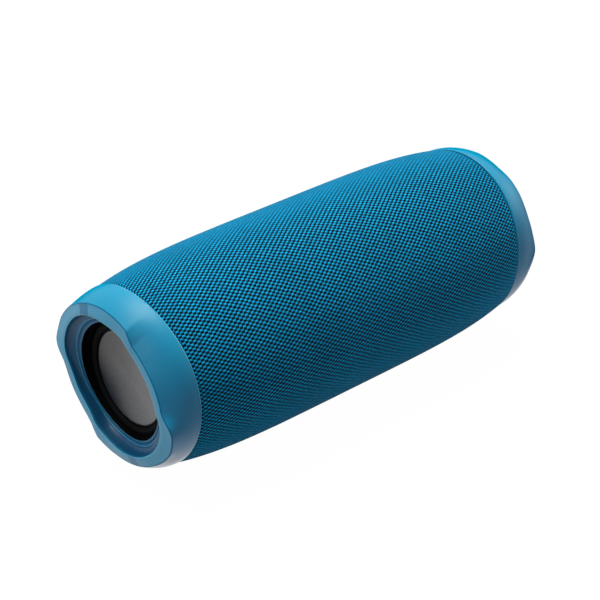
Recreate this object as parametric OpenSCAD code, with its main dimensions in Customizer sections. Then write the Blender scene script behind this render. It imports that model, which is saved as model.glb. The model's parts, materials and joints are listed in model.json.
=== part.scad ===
// Portable barrel speaker: fabric sleeve, two end rings with passive radiators,
// two active drivers, battery, boards, and a control strip along the back.
// X runs along the barrel, the front faces -Y and the feet stand on Z = 0.

/* [Body] */
// Overall length, rim to rim
body_l = 214; // [210:1:222]
// Diameter of the sleeve at its middle
body_d = 87; // [86:0.5:90]
// Diameter of the sleeve where it meets an end ring
seam_d = 77.6; // [77:0.2:79]
// Distance from a rim in to the seam, where the seam lies furthest out
seam_depth = 13.4; // [13:0.1:14.4]
// How late the barrel starts to narrow
bulge_power = 4.4; // [3.5:0.1:5]
// Radius of the large cylinder that trims the seam, so the rings are wider at the front and back
seam_sweep_r = 240; // [230:1:400]
// Angle, from the back towards the top, at which the seam lies furthest out
seam_turn = 80; // [60:1:90]
// Gap between the sleeve's edge and an end ring
seam_gap = 0.3; // [0.2:0.05:0.5]

/* [Shells] */
// Thickness of the fabric sleeve
sleeve_t = 0.8; // [0.6:0.1:1]
// Thickness of the perforated shell under the fabric
grille_t = 1; // [0.8:0.1:1.2]
// Radius of the holes in the perforated shell
grille_hole_r = 2.4; // [1.8:0.1:2.8]
// Spacing of the holes in the perforated shell
grille_pitch = 7; // [6.5:0.5:8]
// Outside diameter of the inner housing
housing_d = 72.4; // [72:0.1:72.6]
// Wall of the inner housing
housing_t = 2.2; // [2:0.1:2.4]
// Distance from a rim in to the end of the inner housing
housing_depth = 20.6; // [20.4:0.1:21.5]
// Gap left between pieces that only lie side by side
slack = 0.1; // [0.05:0.01:0.15]

/* [End rings] */
// How far a ring stands above the fabric at the seam
ring_proud = 0.4; // [0.2:0.1:0.8]
// Outer radius of the rim on its two broad lobes
rim_r = 36.3; // [35.8:0.1:36.6]
// Inner radius of the rim on its two broad lobes
rim_inner_r = 31.2; // [30.8:0.1:31.6]
// How much the outer rim draws in between the lobes
side_inset = 5; // [3:0.1:5.5]
// How much the inner rim draws in between the lobes
side_inner_inset = 2.2; // [1:0.1:2.5]
// How far the narrow rims stand out past the lobes
side_rise = 1; // [0.4:0.1:1.5]
// Angle, from the back towards the top, of the upper lobe's middle
lobe_turn = 60; // [50:1:70]
// Half of the angle that a lobe covers
lobe_half = 56; // [50:1:60]
// Angle of the ramp between a lobe and a narrow rim
ramp_angle = 6; // [4:1:8]
// Radius of the round opening in front of a passive radiator
opening_r = 25.1; // [24.9:0.1:25.3]
// Depth of the opening's lip below the lobes
lip_depth = 4.5; // [4:0.1:5]
// Wall of the ring's skirt
skirt_t = 0.8; // [0.7:0.1:0.9]

/* [Passive radiators] */
// Radius of the radiator's disc
disc_r = 20; // [19:0.1:20.2]
// Thickness of the disc
disc_t = 1.5; // [1.2:0.1:2]
// Distance from a rim in to the disc's outer face
disc_depth = 10.1; // [9.8:0.1:10.5]
// Radius of the steel weight behind the disc
weight_r = 14; // [10:0.5:18]
// Thickness of the steel weight
weight_t = 5; // [3:0.1:6]
// Thickness of the rubber rolls
rubber_t = 0.6; // [0.5:0.1:0.8]
// Thickness of an end plate
bulkhead_t = 3.5; // [3:0.1:3.6]
// Outer radius of the radiator's frame
frame_r = 33; // [32.4:0.1:34]
// Radius of the circle that the radiator's screws lie on
frame_screw_pcd_r = 30; // [29.8:0.1:30.5]
// Number of screws in one radiator
frame_screws = 6; // [4:1:8]

/* [Drivers] */
// Distance of each driver from the middle of the barrel
driver_x = 38; // [36:0.5:40]
// Distance of the baffle's front face from the axis
baffle_y = 22; // [21.5:0.1:22.4]
// Thickness of the baffle
baffle_t = 4.2; // [3.6:0.1:4.6]
// Radius of a driver's flange
flange_r = 27.2; // [26.8:0.1:27.4]
// Radius of a driver's cone
cone_r = 20; // [19.4:0.1:20.4]
// Radius of a driver's magnet
magnet_r = 16; // [14:0.5:18]
// Radius of a driver's pole
pole_r = 6.4; // [6:0.1:6.6]
// Wall of the voice coil and its former
coil_t = 0.5; // [0.4:0.1:0.6]
// Radial gap on both sides of the voice coil
coil_gap = 0.35; // [0.25:0.05:0.45]
// Radius of the circle that a driver's screws lie on
driver_screw_pcd_r = 25.4; // [25.2:0.1:25.6]

/* [Battery and boards] */
// Radius of a battery cell
cell_r = 9.2; // [8.8:0.1:9.3]
// Length of a battery cell
cell_l = 65; // [60:1:68]
// Thickness of the circuit boards
board_t = 1.6; // [1:0.1:1.8]
// Distance of the main board from the axis
main_board_y = 25.4; // [25.2:0.1:25.8]
// Length of the main board
main_board_l = 90; // [86:1:96]
// Width of the main board
main_board_w = 38; // [36:1:39]

/* [Controls] */
// Length of the control strip
strip_l = 120; // [112:1:130]
// Width of the control strip
strip_w = 32; // [31:0.5:34]
// Thickness of the control strip
strip_t = 2.6; // [2.4:0.1:2.8]
// How far the strip stands above the fabric
strip_proud = 0.3; // [0.1:0.1:0.5]
// Radius of a button
button_r = 4.4; // [4:0.1:4.6]
// Spacing of the buttons
button_pitch = 22; // [20:0.5:24]
// Height of the row of buttons above the axis
button_z = 6; // [5.5:0.1:6.4]
// Travel of a button
button_travel = 0.5; // [0.3:0.1:0.5]
// Clearance around a button
button_gap = 0.25; // [0.2:0.05:0.35]
// Length of the port cover
cover_l = 40; // [36:1:46]
// Thickness of the port cover
cover_t = 1.4; // [1.2:0.1:1.5]
// Radius of the port cover's hinge pin
hinge_pin_r = 0.6; // [0.5:0.05:0.7]
// Radial clearance between the hinge pin and the cover
hinge_gap = 0.05; // [0.03:0.01:0.08]

/* [Feet] */
// Height of the body above the floor
foot_h = 1.2; // [0.8:0.1:1.4]
// Width of a foot
foot_w = 27; // [22:1:28]
// Length of a foot
foot_l = 30; // [24:1:34]
// Distance of each foot from the middle
foot_x = 50; // [42:1:54]

/* [Hidden] */
$fn = 64;
fabric_blue = [0.06, 0.42, 0.62];
ring_blue = [0.12, 0.62, 0.78];
black = [0.05, 0.05, 0.06];
steel = [0.62, 0.64, 0.66];
board_green = [0.05, 0.28, 0.16];

axis_z = body_d / 2 + foot_h;
half_l = body_l / 2;
seam_x = half_l - seam_depth;
housing_half_l = half_l - housing_depth;
disc_x = half_l - disc_depth;
lobe_x = half_l - side_rise;
lip_x = lobe_x - lip_depth;
ring_r = seam_d / 2 + ring_proud;
housing_r = housing_d / 2;
housing_in_r = housing_r - housing_t;
bulkhead_x = housing_half_l + slack;
gasket_x = bulkhead_x + bulkhead_t;
gasket_t = 1;
frame_x = gasket_x + gasket_t;
frame_flange_t = 1.6;
surround_x = disc_x - 0.5;
radiator_hole_r = disc_r + 4;
collar_in_r = opening_r + 0.7;
collar_out_r = collar_in_r + 2.2;
screw_r = 1;
screw_head_r = 1.6;
screw_head_t = 1.2;
screw_fit = 0.05;
coil_in_r = pole_r + coil_gap;
coil_out_r = coil_in_r + coil_t;
gap_out_r = coil_out_r + coil_gap;
cell_y = main_board_y - cell_r - 0.8;
cell_z = cell_r + 0.8;
tray_y = cell_y - cell_r - 1;
pocket_y = 32;
pocket_l = 112;
pocket_w = 26;
pocket_t = 2;
control_board_y = pocket_y + 0.6;
switch_h = 3.8;
port_h = 6.6;
port_z = -8;
port_spacing = 18;
cover_w = 10.4;
cover_gap = 0.3;
hinge_r = hinge_pin_r + hinge_gap + 0.75;
hinge_sweep_r = hinge_r + 0.75;
hinge_z = port_z - cover_w / 2 + 0.8;
hinge_y = sqrt(pow(body_d / 2 + strip_proud - hinge_r - 0.05, 2) - hinge_z * hinge_z);
port_slot_w = 7.6;
jack_bore_r = 1.8;
strip_wall = 1.6;
board_top_y = control_board_y + board_t;
button_flange_y = board_top_y + switch_h + button_travel + 0.2;
button_flange_t = 0.5;
foot_stem_l = foot_l - 6;
foot_stem_w = foot_w - 6;
grille_trim = 3;
skin_x = seam_x - 0.3;
skirt_in_r = housing_r + slack;
skirt_x = bulkhead_x + 0.5;
soft_gap = 0.3;
boss_x = housing_half_l - 10.4;
boss_z = 30.5;
boss_r = 3;
front_boss_h = 10;
rear_boss_h = 6;
well_r = flange_r + 0.3;
baffle_hole_r = 23.2;
flange_t = 1.4;
flange_in_r = 22;
magnet_low = -1;
magnet_t = 6;
plate_t = 3;
plate_top = magnet_low + magnet_t + plate_t;
yoke_t = 3;
cone_low = 14;
cone_top = baffle_y + flange_t + rubber_t;
coil_low = 3.5;
spider_in_r = coil_out_r + soft_gap;
spider_out_r = 15;
spider_z = 10;
spider_t = 0.4;
cap_r = 8;
cap_rise = 2.4;
cap_sphere_r = (cap_r * cap_r + cap_rise * cap_rise) / (2 * cap_rise);
tray_wing_t = 2;
wire_r = 0.6;
header_l = 12;
header_w = 3;
header_z = -11.5;
board_screw_l = 4.5;
board_screw_reach = 2.4;
eps = 0.01;

// Radius of the barrel at a distance from the middle
function barrel_r(x) =
    body_d / 2 - (body_d - seam_d) / 2 * pow(abs(x) / seam_x, bulge_power);
// Stations along the barrel, closer together where it narrows
stations = [for (i = [-9:9]) (seam_x + 2) * sin(10 * i)];

module along_x() {
    translate([0, 0, axis_z]) rotate([90, 0, 90]) children();
}

// Both ends use the same mouldings, the right-hand set turned half round the vertical
module end_of(side) {
    mirror([side < 0 ? 1 : 0, side > 0 ? 1 : 0, 0]) children();
}

// A solid barrel, larger than the sleeve by a given amount all round
module barrel(grow) {
    along_x() rotate_extrude()
        polygon(concat(
            [[0, stations[0]]],
            [for (x = stations) [barrel_r(x) + grow, x]],
            [[0, stations[len(stations) - 1]]]));
}

// What lies between the two seams, shorter at each end by a given gap
module between_seams(gap) {
    intersection() {
        seam_cylinder(-1, gap);
        seam_cylinder(1, gap);
    }
}

module seam_cylinder(side, gap) {
    end_of(side) translate([seam_x - seam_sweep_r, 0, axis_z])
        rotate([seam_turn - 90, 0, 0])
            cylinder(r = seam_sweep_r - gap, h = body_d * 2, center = true, $fn = 256);
}

// A flat bar with round ends, standing on its width along Y
module pill(length, width, y_from, y_to, z_mid = 0) {
    translate([0, y_to, axis_z + z_mid]) rotate([90, 0, 0])
        linear_extrude(y_to - y_from) {
            square([length - width, width], center = true);
            for (side = [-1, 1]) translate([side * (length - width) / 2, 0]) circle(d = width);
        }
}

// ---- shells ----

module strip_window(gap) {
    pill(strip_l + 2 * gap, strip_w + 2 * gap, 0, body_d);
}

module foot_windows(gap) {
    for (side = [-1, 1])
        translate([side * foot_x - foot_stem_l / 2 - gap, -foot_stem_w / 2 - gap, -1])
            cube([foot_stem_l + 2 * gap, foot_stem_w + 2 * gap, axis_z]);
}

module fabric_sleeve() {
    color(fabric_blue) difference() {
        intersection() {
            barrel(0);
            between_seams(seam_gap);
        }
        barrel(-sleeve_t);
        strip_window(cover_gap);
        foot_windows(cover_gap);
    }
}

module grille_holes() {
    for (side = [-1, 1], column = [-3:3], row = [-2:2])
        translate([side * driver_x + column * grille_pitch, 0, axis_z + row * grille_pitch])
            rotate([90, 0, 0]) cylinder(r = grille_hole_r, h = body_d);
}

module grille_shell() {
    color(black) difference() {
        intersection() {
            barrel(-sleeve_t - slack);
            between_seams(grille_trim);
        }
        barrel(-sleeve_t - slack - grille_t);
        strip_window(cover_gap);
        foot_windows(cover_gap);
        grille_holes();
    }
}

module housing_tube() {
    along_x() difference() {
        cylinder(r = housing_r, h = 2 * housing_half_l, center = true);
        cylinder(r = housing_in_r, h = 2 * housing_half_l + 2, center = true);
    }
}

module half_space(side) {
    translate([-body_l, side > 0 ? 0 : -body_l, -body_l]) cube([2 * body_l, body_l, 3 * body_l]);
}

module at_housing_screws() {
    for (side = [-1, 1], end = [-1, 1])
        translate([end * boss_x, 0, axis_z + side * boss_z]) rotate([-90, 0, 0]) children();
}

module front_housing() {
    color(black) difference() {
        union() {
            intersection() {
                housing_tube();
                half_space(-1);
            }
            intersection() {
                for (side = [-1, 1]) at_driver(side)
                    translate([0, 0, baffle_y - baffle_t]) cylinder(r = well_r + 1.8, h = housing_r);
                along_x() cylinder(r = housing_r, h = 2 * housing_half_l, center = true);
            }
            intersection() {
                at_housing_screws() translate([0, 0, -front_boss_h]) cylinder(r = boss_r, h = front_boss_h);
                along_x() cylinder(r = housing_r - eps, h = 2 * housing_half_l, center = true);
            }
        }
        for (side = [-1, 1]) at_driver(side) {
            translate([0, 0, baffle_y]) cylinder(r = well_r, h = housing_r);
            cylinder(r = baffle_hole_r, h = housing_r);
            driver_screw_holes();
        }
        at_housing_screws() translate([0, 0, -front_boss_h - 1])
            cylinder(r = screw_r + screw_fit, h = front_boss_h + 2);
    }
}

module rear_housing() {
    color(black) difference() {
        union() {
            intersection() {
                housing_tube();
                half_space(1);
            }
            intersection() {
                translate([-pocket_l / 2 - pocket_t, pocket_y - pocket_t, axis_z - pocket_w / 2 - pocket_t])
                    cube([pocket_l + 2 * pocket_t, housing_r, pocket_w + 2 * pocket_t]);
                along_x() cylinder(r = housing_r, h = 2 * housing_half_l, center = true);
            }
            intersection() {
                at_housing_screws() cylinder(r = boss_r, h = rear_boss_h);
                along_x() cylinder(r = housing_r - eps, h = 2 * housing_half_l, center = true);
            }
            at_main_board_screws() translate([0, 0, board_t]) cylinder(r = 2.6, h = pocket_y - main_board_y - 2);
        }
        translate([-pocket_l / 2, pocket_y, axis_z - pocket_w / 2])
            cube([pocket_l, housing_r, pocket_w]);
        translate([-header_l / 2 - 1, pocket_y - pocket_t - 1, axis_z + header_z - 1])
            cube([header_l + 2, pocket_t + 2, header_w + 2]);
        at_housing_screws() translate([0, 0, -1]) cylinder(r = screw_r + screw_fit, h = rear_boss_h + 2);
        at_main_board_screws() cylinder(r = screw_r + screw_fit, h = board_screw_l);
        at_control_board_screws() translate([0, 0, -board_screw_reach])
            cylinder(r = screw_r + screw_fit, h = board_screw_reach + 2);
    }
    color(black) at_control_board_screws() control_board_post();
}

module control_board_post() {
    translate([0, 0, -control_board_y + pocket_y]) difference() {
        cylinder(r = 2, h = control_board_y - pocket_y);
        translate([0, 0, -1]) cylinder(r = screw_r + screw_fit, h = control_board_y);
    }
}

module housing_screws() {
    color(steel) at_housing_screws() {
        translate([0, 0, rear_boss_h]) cylinder(r = screw_head_r, h = screw_head_t);
        translate([0, 0, 1 - front_boss_h]) cylinder(r = screw_r, h = front_boss_h + rear_boss_h - 1 + eps);
    }
}

// ---- ends ----

// Turns a profile of [radius, distance from the middle] points about the barrel's axis
module end_turned(side, points, start = 0, angle = 360) {
    end_of(side) along_x() rotate([0, 0, start]) rotate_extrude(angle = angle) polygon(points);
}

// Radius of a ring's outer skin, t from 0 at the fabric to 1 at the rim; draw is 0 on a lobe
// and 1 on a narrow rim
function ring_skin_r(t, draw) = ring_r - (ring_r - rim_r + side_inset * draw) * t * t;

function ring_top_x(draw) = lobe_x + side_rise * draw;

function cove_foot() = [rim_inner_r - 0.4, lip_x + 2.1];

// The fullest cross-section of an end ring, before the lobes and narrow rims are cut back
function ring_profile() = concat(
    [for (t = [0:0.2:1]) [ring_skin_r(t, 0), skin_x + (ring_top_x(1) - skin_x) * t]],
    [
        [rim_inner_r - side_inner_inset, ring_top_x(1)],
        cove_foot(),
        [opening_r + 4.5, lip_x + 0.8],
        [opening_r + 3.1, lip_x + 0.4],
        [opening_r + 2.3, lip_x + 0.2],
        [opening_r + 1.7, lip_x - 0.3],
        [opening_r + 1.3, lip_x + 0.1],
        [opening_r, lip_x],
        [opening_r, lip_x - 1.7],
        [collar_in_r, lip_x - 1.7],
        [collar_in_r, surround_x + slack],
        [collar_out_r, surround_x + slack],
        [collar_out_r, lip_x - 1.7],
        [collar_out_r + 2, lip_x - 1.1],
        [collar_out_r + 4, lip_x + 0.3],
        [skirt_in_r - 2.2, lip_x + 0.3],
        [skirt_in_r, lip_x - 2.5],
        [skirt_in_r, skirt_x],
        [skirt_in_r + skirt_t, skirt_x],
        [skirt_in_r + skirt_t, skin_x - 3],
        [ring_r, skin_x - 3]]);

// What is cut off the rim's face on a lobe, and off the skin beside a narrow rim
function face_cut(draw) = [
    cove_foot() - [0.3, 0.1],
    [rim_inner_r - side_inner_inset * draw, ring_top_x(draw)],
    [ring_r + 1, ring_top_x(draw)],
    [ring_r + 1, ring_top_x(1) + 1],
    [opening_r, ring_top_x(1) + 1]];

function skin_cut(draw) = concat(
    [[ring_r + 0.1, skin_x]],
    [for (t = [0.2:0.2:1]) [ring_skin_r(t, draw), skin_x + (ring_top_x(draw) - skin_x) * t]],
    [[ring_skin_r(1, draw), ring_top_x(1) + 1], [ring_r + 1, ring_top_x(1) + 1], [ring_r + 1, skin_x]]);

// The half-depth cuts run past the full-depth ones and leave a ramp between a lobe and a rim;
// each skin cut starts a little past the face cut beside it
module end_ring(side) {
    color(ring_blue) difference() {
        end_turned(side, ring_profile());
        for (turn = [lobe_turn, lobe_turn + 180]) {
            end_turned(side, face_cut(0), turn - lobe_half, 2 * lobe_half);
            end_turned(side, face_cut(0.5), turn - lobe_half - ramp_angle, 2 * (lobe_half + ramp_angle));
            end_turned(side, skin_cut(1), turn + lobe_half + 1.15 * ramp_angle,
                180 - 2 * (lobe_half + 1.15 * ramp_angle));
            end_turned(side, skin_cut(0.5), turn + lobe_half + 0.15 * ramp_angle,
                180 - 2 * (lobe_half + 0.15 * ramp_angle));
        }
        difference() {
            seam_cylinder(side, 0);
            end_turned(side, [[0, 0], [skirt_in_r + skirt_t, 0], [skirt_in_r + skirt_t, body_l], [0, body_l]]);
        }
    }
}

module left_end_ring() { end_ring(-1); }

module right_end_ring() { end_ring(1); }

module at_radiator_screws(side) {
    end_of(side) along_x() for (i = [0:frame_screws - 1])
        rotate([0, 0, 360 / frame_screws * (i + 0.5)]) translate([frame_screw_pcd_r, 0, 0]) children();
}

module bulkhead(side) {
    color(black) difference() {
        end_turned(side, [
            [radiator_hole_r, gasket_x], [housing_r, gasket_x], [housing_r, bulkhead_x],
            [housing_in_r - slack, bulkhead_x], [housing_in_r - slack, bulkhead_x - 4],
            [housing_in_r - slack - 2, bulkhead_x - 4], [housing_in_r - slack - 2, bulkhead_x],
            [radiator_hole_r, bulkhead_x]]);
        at_radiator_screws(side) translate([0, 0, bulkhead_x - 1])
            cylinder(r = screw_r + screw_fit, h = bulkhead_t + 2);
    }
}

module left_bulkhead() { bulkhead(-1); }

module right_bulkhead() { bulkhead(1); }

module radiator_gasket(side) {
    color([0.15, 0.15, 0.15]) end_turned(side, [
        [radiator_hole_r + 0.6, gasket_x], [frame_screw_pcd_r - screw_r - 0.4, gasket_x],
        [frame_screw_pcd_r - screw_r - 0.4, frame_x], [radiator_hole_r + 0.6, frame_x]]);
}

module left_radiator_gasket() { radiator_gasket(-1); }

module right_radiator_gasket() { radiator_gasket(1); }

module radiator_frame(side) {
    color(black) difference() {
        end_turned(side, [
            [radiator_hole_r + 0.4, frame_x], [frame_r, frame_x], [frame_r, frame_x + frame_flange_t],
            [collar_out_r, frame_x + frame_flange_t], [collar_out_r, surround_x - rubber_t],
            [collar_in_r, surround_x - rubber_t], [radiator_hole_r + 0.4, frame_x + frame_flange_t]]);
        at_radiator_screws(side) translate([0, 0, frame_x - 1])
            cylinder(r = screw_r + screw_fit, h = frame_flange_t + 2);
    }
}

module left_radiator_frame() { radiator_frame(-1); }

module right_radiator_frame() { radiator_frame(1); }

// Cross-section of a rubber surround: an inner lip, a half roll and an outer lip
module roll_section(inner_r, roll_in_r, roll_out_r, outer_r, height) {
    mid_r = (roll_in_r + roll_out_r) / 2;
    roll_r = (roll_out_r - roll_in_r) / 2 + rubber_t / 2;
    translate([inner_r, height - rubber_t]) square([roll_in_r - inner_r, rubber_t]);
    translate([roll_out_r, height - rubber_t]) square([outer_r - roll_out_r, rubber_t]);
    translate([mid_r, height - rubber_t]) difference() {
        circle(r = roll_r);
        circle(r = roll_r - rubber_t);
        translate([-roll_r - 1, -2 * roll_r]) square([2 * roll_r + 2, 2 * roll_r]);
    }
}

module radiator_surround(side) {
    color([0.03, 0.03, 0.03]) end_of(side) along_x() rotate_extrude()
        roll_section(disc_r + soft_gap, disc_r + soft_gap + 1, opening_r - 0.2 - rubber_t / 2,
            collar_out_r, surround_x);
}

module left_radiator_surround() { radiator_surround(-1); }

module right_radiator_surround() { radiator_surround(1); }

module radiator_disc(side) {
    color([0.35, 0.35, 0.36]) end_turned(side, [
        [0, disc_x], [disc_r - 0.4, disc_x], [disc_r, disc_x - 0.4], [disc_r, disc_x - disc_t], [0, disc_x - disc_t]]);
}

module left_radiator_disc() { radiator_disc(-1); }

module right_radiator_disc() { radiator_disc(1); }

module radiator_weight(side) {
    color(steel) end_turned(side, [
        [0, disc_x - disc_t], [weight_r, disc_x - disc_t],
        [weight_r, disc_x - disc_t - weight_t], [0, disc_x - disc_t - weight_t]]);
}

module left_radiator_weight() { radiator_weight(-1); }

module right_radiator_weight() { radiator_weight(1); }

module radiator_screws() {
    color(steel) for (side = [-1, 1]) at_radiator_screws(side) {
        translate([0, 0, frame_x + frame_flange_t]) cylinder(r = screw_head_r, h = screw_head_t);
        translate([0, 0, bulkhead_x]) cylinder(r = screw_r, h = frame_x + frame_flange_t - bulkhead_x + eps);
    }
}

// ---- drivers: +Z of each driver's own frame points out of the front ----

module at_driver(side) {
    translate([side * driver_x, 0, axis_z]) rotate([90, 0, 0]) children();
}

module turned(points) {
    rotate_extrude() polygon(points);
}

module at_driver_screws() {
    for (i = [0:3]) rotate([0, 0, 45 + 90 * i]) translate([driver_screw_pcd_r, 0, 0]) children();
}

module driver_screw_holes() {
    at_driver_screws() translate([0, 0, baffle_y - baffle_t - 1])
        cylinder(r = screw_r + screw_fit, h = baffle_t + 4);
}

module driver_basket(side) {
    color([0.12, 0.12, 0.13]) at_driver(side) difference() {
        turned([
            [gap_out_r + 3, plate_top], [magnet_r - 0.4, plate_top], [baffle_hole_r - 0.6, baffle_y - 1.5],
            [baffle_hole_r - 0.6, baffle_y], [flange_r, baffle_y], [flange_r, baffle_y + flange_t],
            [flange_in_r, baffle_y + flange_t], [flange_in_r, baffle_y - 0.6],
            [magnet_r - 1.2, plate_top + 1.4], [gap_out_r + 3, plate_top + 1.4]]);
        for (i = [0:3]) rotate([0, 0, 90 * i]) translate([magnet_r - 1, -6, plate_top + 3])
            cube([flange_r, 12, baffle_y - plate_top - 6]);
        driver_screw_holes();
    }
}

module left_driver_basket() { driver_basket(-1); }

module right_driver_basket() { driver_basket(1); }

module driver_yoke(side) {
    color(steel) at_driver(side) turned([
        [0, plate_top], [pole_r, plate_top], [pole_r, magnet_low], [magnet_r - 1, magnet_low],
        [magnet_r - 1, magnet_low - yoke_t], [0, magnet_low - yoke_t]]);
}

module left_driver_yoke() { driver_yoke(-1); }

module right_driver_yoke() { driver_yoke(1); }

module driver_magnet(side) {
    color([0.18, 0.18, 0.19]) at_driver(side) turned([
        [gap_out_r + 1, magnet_low], [magnet_r, magnet_low],
        [magnet_r, magnet_low + magnet_t], [gap_out_r + 1, magnet_low + magnet_t]]);
}

module left_driver_magnet() { driver_magnet(-1); }

module right_driver_magnet() { driver_magnet(1); }

module driver_top_plate(side) {
    color(steel) at_driver(side) turned([
        [gap_out_r, plate_top - plate_t], [magnet_r - 1, plate_top - plate_t],
        [magnet_r - 1, plate_top], [gap_out_r, plate_top]]);
}

module left_driver_top_plate() { driver_top_plate(-1); }

module right_driver_top_plate() { driver_top_plate(1); }

module voice_coil(side) {
    color([0.72, 0.45, 0.2]) at_driver(side) turned([
        [coil_in_r, coil_low], [coil_out_r, coil_low], [coil_out_r, cone_low], [coil_in_r, cone_low]]);
}

module left_voice_coil() { voice_coil(-1); }

module right_voice_coil() { voice_coil(1); }

module driver_spider(side) {
    lobe = 0.35;
    color([0.75, 0.6, 0.3]) at_driver(side) turned(concat(
        [for (i = [0:12]) [spider_in_r + (spider_out_r - spider_in_r) * i / 12,
            spider_z + (i > 0 && i < 12 ? lobe * sin(90 * i) : 0)]],
        [for (i = [12:-1:0]) [spider_in_r + (spider_out_r - spider_in_r) * i / 12,
            spider_z + spider_t + (i > 0 && i < 12 ? lobe * sin(90 * i) : 0)]]));
}

module left_driver_spider() { driver_spider(-1); }

module right_driver_spider() { driver_spider(1); }

module driver_cone(side) {
    color([0.1, 0.1, 0.11]) at_driver(side) turned([
        [coil_in_r, cone_low], [coil_out_r + 0.2, cone_low], [cone_r, cone_top - 0.7],
        [cone_r, cone_top], [cone_r - 0.7, cone_top], [coil_in_r, cone_low + 0.7]]);
}

module left_driver_cone() { driver_cone(-1); }

module right_driver_cone() { driver_cone(1); }

module dust_cap(side) {
    cap_z = cone_low + 0.7 + (cap_r - coil_in_r) * (cone_top - cone_low - 0.7) / (cone_r - 0.7 - coil_in_r);
    color([0.06, 0.06, 0.07]) at_driver(side) translate([0, 0, cap_z + slack]) difference() {
        intersection() {
            translate([0, 0, cap_rise - cap_sphere_r]) sphere(r = cap_sphere_r);
            cylinder(r = cap_r, h = cap_rise);
        }
        translate([0, 0, cap_rise - cap_sphere_r]) sphere(r = cap_sphere_r - 0.5);
    }
}

module left_dust_cap() { dust_cap(-1); }

module right_dust_cap() { dust_cap(1); }

module driver_surround(side) {
    color([0.03, 0.03, 0.03]) at_driver(side) rotate_extrude()
        roll_section(cone_r + soft_gap, cone_r + soft_gap + 0.4, flange_in_r + 0.4,
            flange_in_r + 1.8, baffle_y + flange_t + rubber_t);
}

module left_driver_surround() { driver_surround(-1); }

module right_driver_surround() { driver_surround(1); }

module driver_screws() {
    color(steel) for (side = [-1, 1]) at_driver(side) at_driver_screws() {
        translate([0, 0, baffle_y + flange_t]) cylinder(r = screw_head_r, h = screw_head_t);
        translate([0, 0, baffle_y - baffle_t]) cylinder(r = screw_r, h = baffle_t + flange_t + eps);
    }
}

// ---- battery, boards and wires ----

module at_cells(length, radius) {
    for (side = [-1, 1]) translate([0, cell_y, axis_z + side * cell_z]) rotate([0, 90, 0])
        cylinder(r = radius, h = length, center = true);
}

module battery_cells() {
    color([0.2, 0.45, 0.3]) at_cells(cell_l, cell_r);
}

module battery_tray() {
    wing_z = sqrt(pow(housing_in_r - slack, 2) - pow(tray_y + tray_wing_t, 2));
    color(black) difference() {
        union() {
            translate([-cell_l / 2 - 3.5, tray_y, axis_z - cell_z - cell_r - 0.8])
                cube([cell_l + 7, cell_r * 0.75, 2 * (cell_z + cell_r + 0.8)]);
            translate([-6, tray_y, axis_z - wing_z]) cube([12, tray_wing_t, 2 * wing_z]);
        }
        at_cells(cell_l + 2 * slack, cell_r + slack);
    }
}

// A round wire through a list of points; each stretch runs a little past its inner corners
module wire(points, radius) {
    last = len(points) - 2;
    for (i = [0:last]) {
        step = points[i + 1] - points[i];
        before = i > 0 ? radius * 0.6 : 0;
        after = i < last ? radius * 0.6 : 0;
        translate(points[i]) rotate([0, acos(step[2] / norm(step)), atan2(step[1], step[0])])
            translate([0, 0, -before]) cylinder(r = radius, h = norm(step) + before + after);
    }
}

module battery_leads() {
    end_x = cell_l / 2 + slack + wire_r;
    color([0.75, 0.1, 0.1]) translate([0, 0, axis_z]) {
        for (side = [-1, 1]) wire([
            [end_x, cell_y, side * cell_z], [end_x + 1.4, cell_y + 1.4, side * cell_z],
            [end_x + 1.4, main_board_y - slack, side * cell_z]], wire_r);
        wire([[-end_x, cell_y, -cell_z], [-end_x, cell_y, cell_z]], wire_r);
    }
}

module speaker_wires() {
    color([0.6, 0.08, 0.08]) translate([0, 0, axis_z]) for (side = [-1, 1], pole = [-1, 1]) wire([
        [side * (main_board_l / 2 - 2), main_board_y - slack, pole * 8],
        [side * (main_board_l / 2 - 2), main_board_y - 5, pole * 8],
        [side * (driver_x + magnet_r + 3), 8, pole * 8],
        [side * (driver_x + magnet_r + 3), -plate_top, pole * 7],
        [side * (driver_x + magnet_r + 0.6), -plate_top - 2, pole * 6]], wire_r);
}

module at_main_board_screws() {
    for (end = [-1, 1], side = [-1, 1])
        translate([end * (main_board_l / 2 - 5), main_board_y, axis_z + side * (main_board_w / 2 - 4)])
            rotate([-90, 0, 0]) children();
}

module at_control_board_screws() {
    for (end = [-1, 1], side = [-1, 1])
        translate([end * (pocket_l / 2 - 4), control_board_y, axis_z + side * (pocket_w / 2 - 3.5)])
            rotate([-90, 0, 0]) children();
}

module main_board() {
    color(board_green) difference() {
        translate([-main_board_l / 2, main_board_y, axis_z - main_board_w / 2])
            cube([main_board_l, board_t, main_board_w]);
        at_main_board_screws() translate([0, 0, -1]) cylinder(r = screw_r + screw_fit, h = board_t + 2);
    }
}

module on_board(x, z, size) {
    translate([x - size[0] / 2, main_board_y + board_t, axis_z + z - size[2] / 2]) cube(size);
}

module board_chips() {
    color([0.08, 0.08, 0.09]) {
        on_board(-20, -4, [9, 1.2, 9]);
        on_board(-4, 2, [12, 1.4, 12]);
        on_board(12, 8, [5, 1, 5]);
        for (i = [0:3]) on_board(-34, 11 - 7 * i, [6, 2.6, 6]);
        for (i = [0:2]) on_board(-22 + 7 * i, 12, [4, 2, 3]);
        translate([-header_l / 2, main_board_y + board_t, axis_z + header_z])
            cube([header_l, control_board_y - main_board_y - board_t, header_w]);
    }
}

module wireless_module() {
    color([0.7, 0.7, 0.72]) on_board(28, -2, [14, 2, 11]);
}

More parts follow.
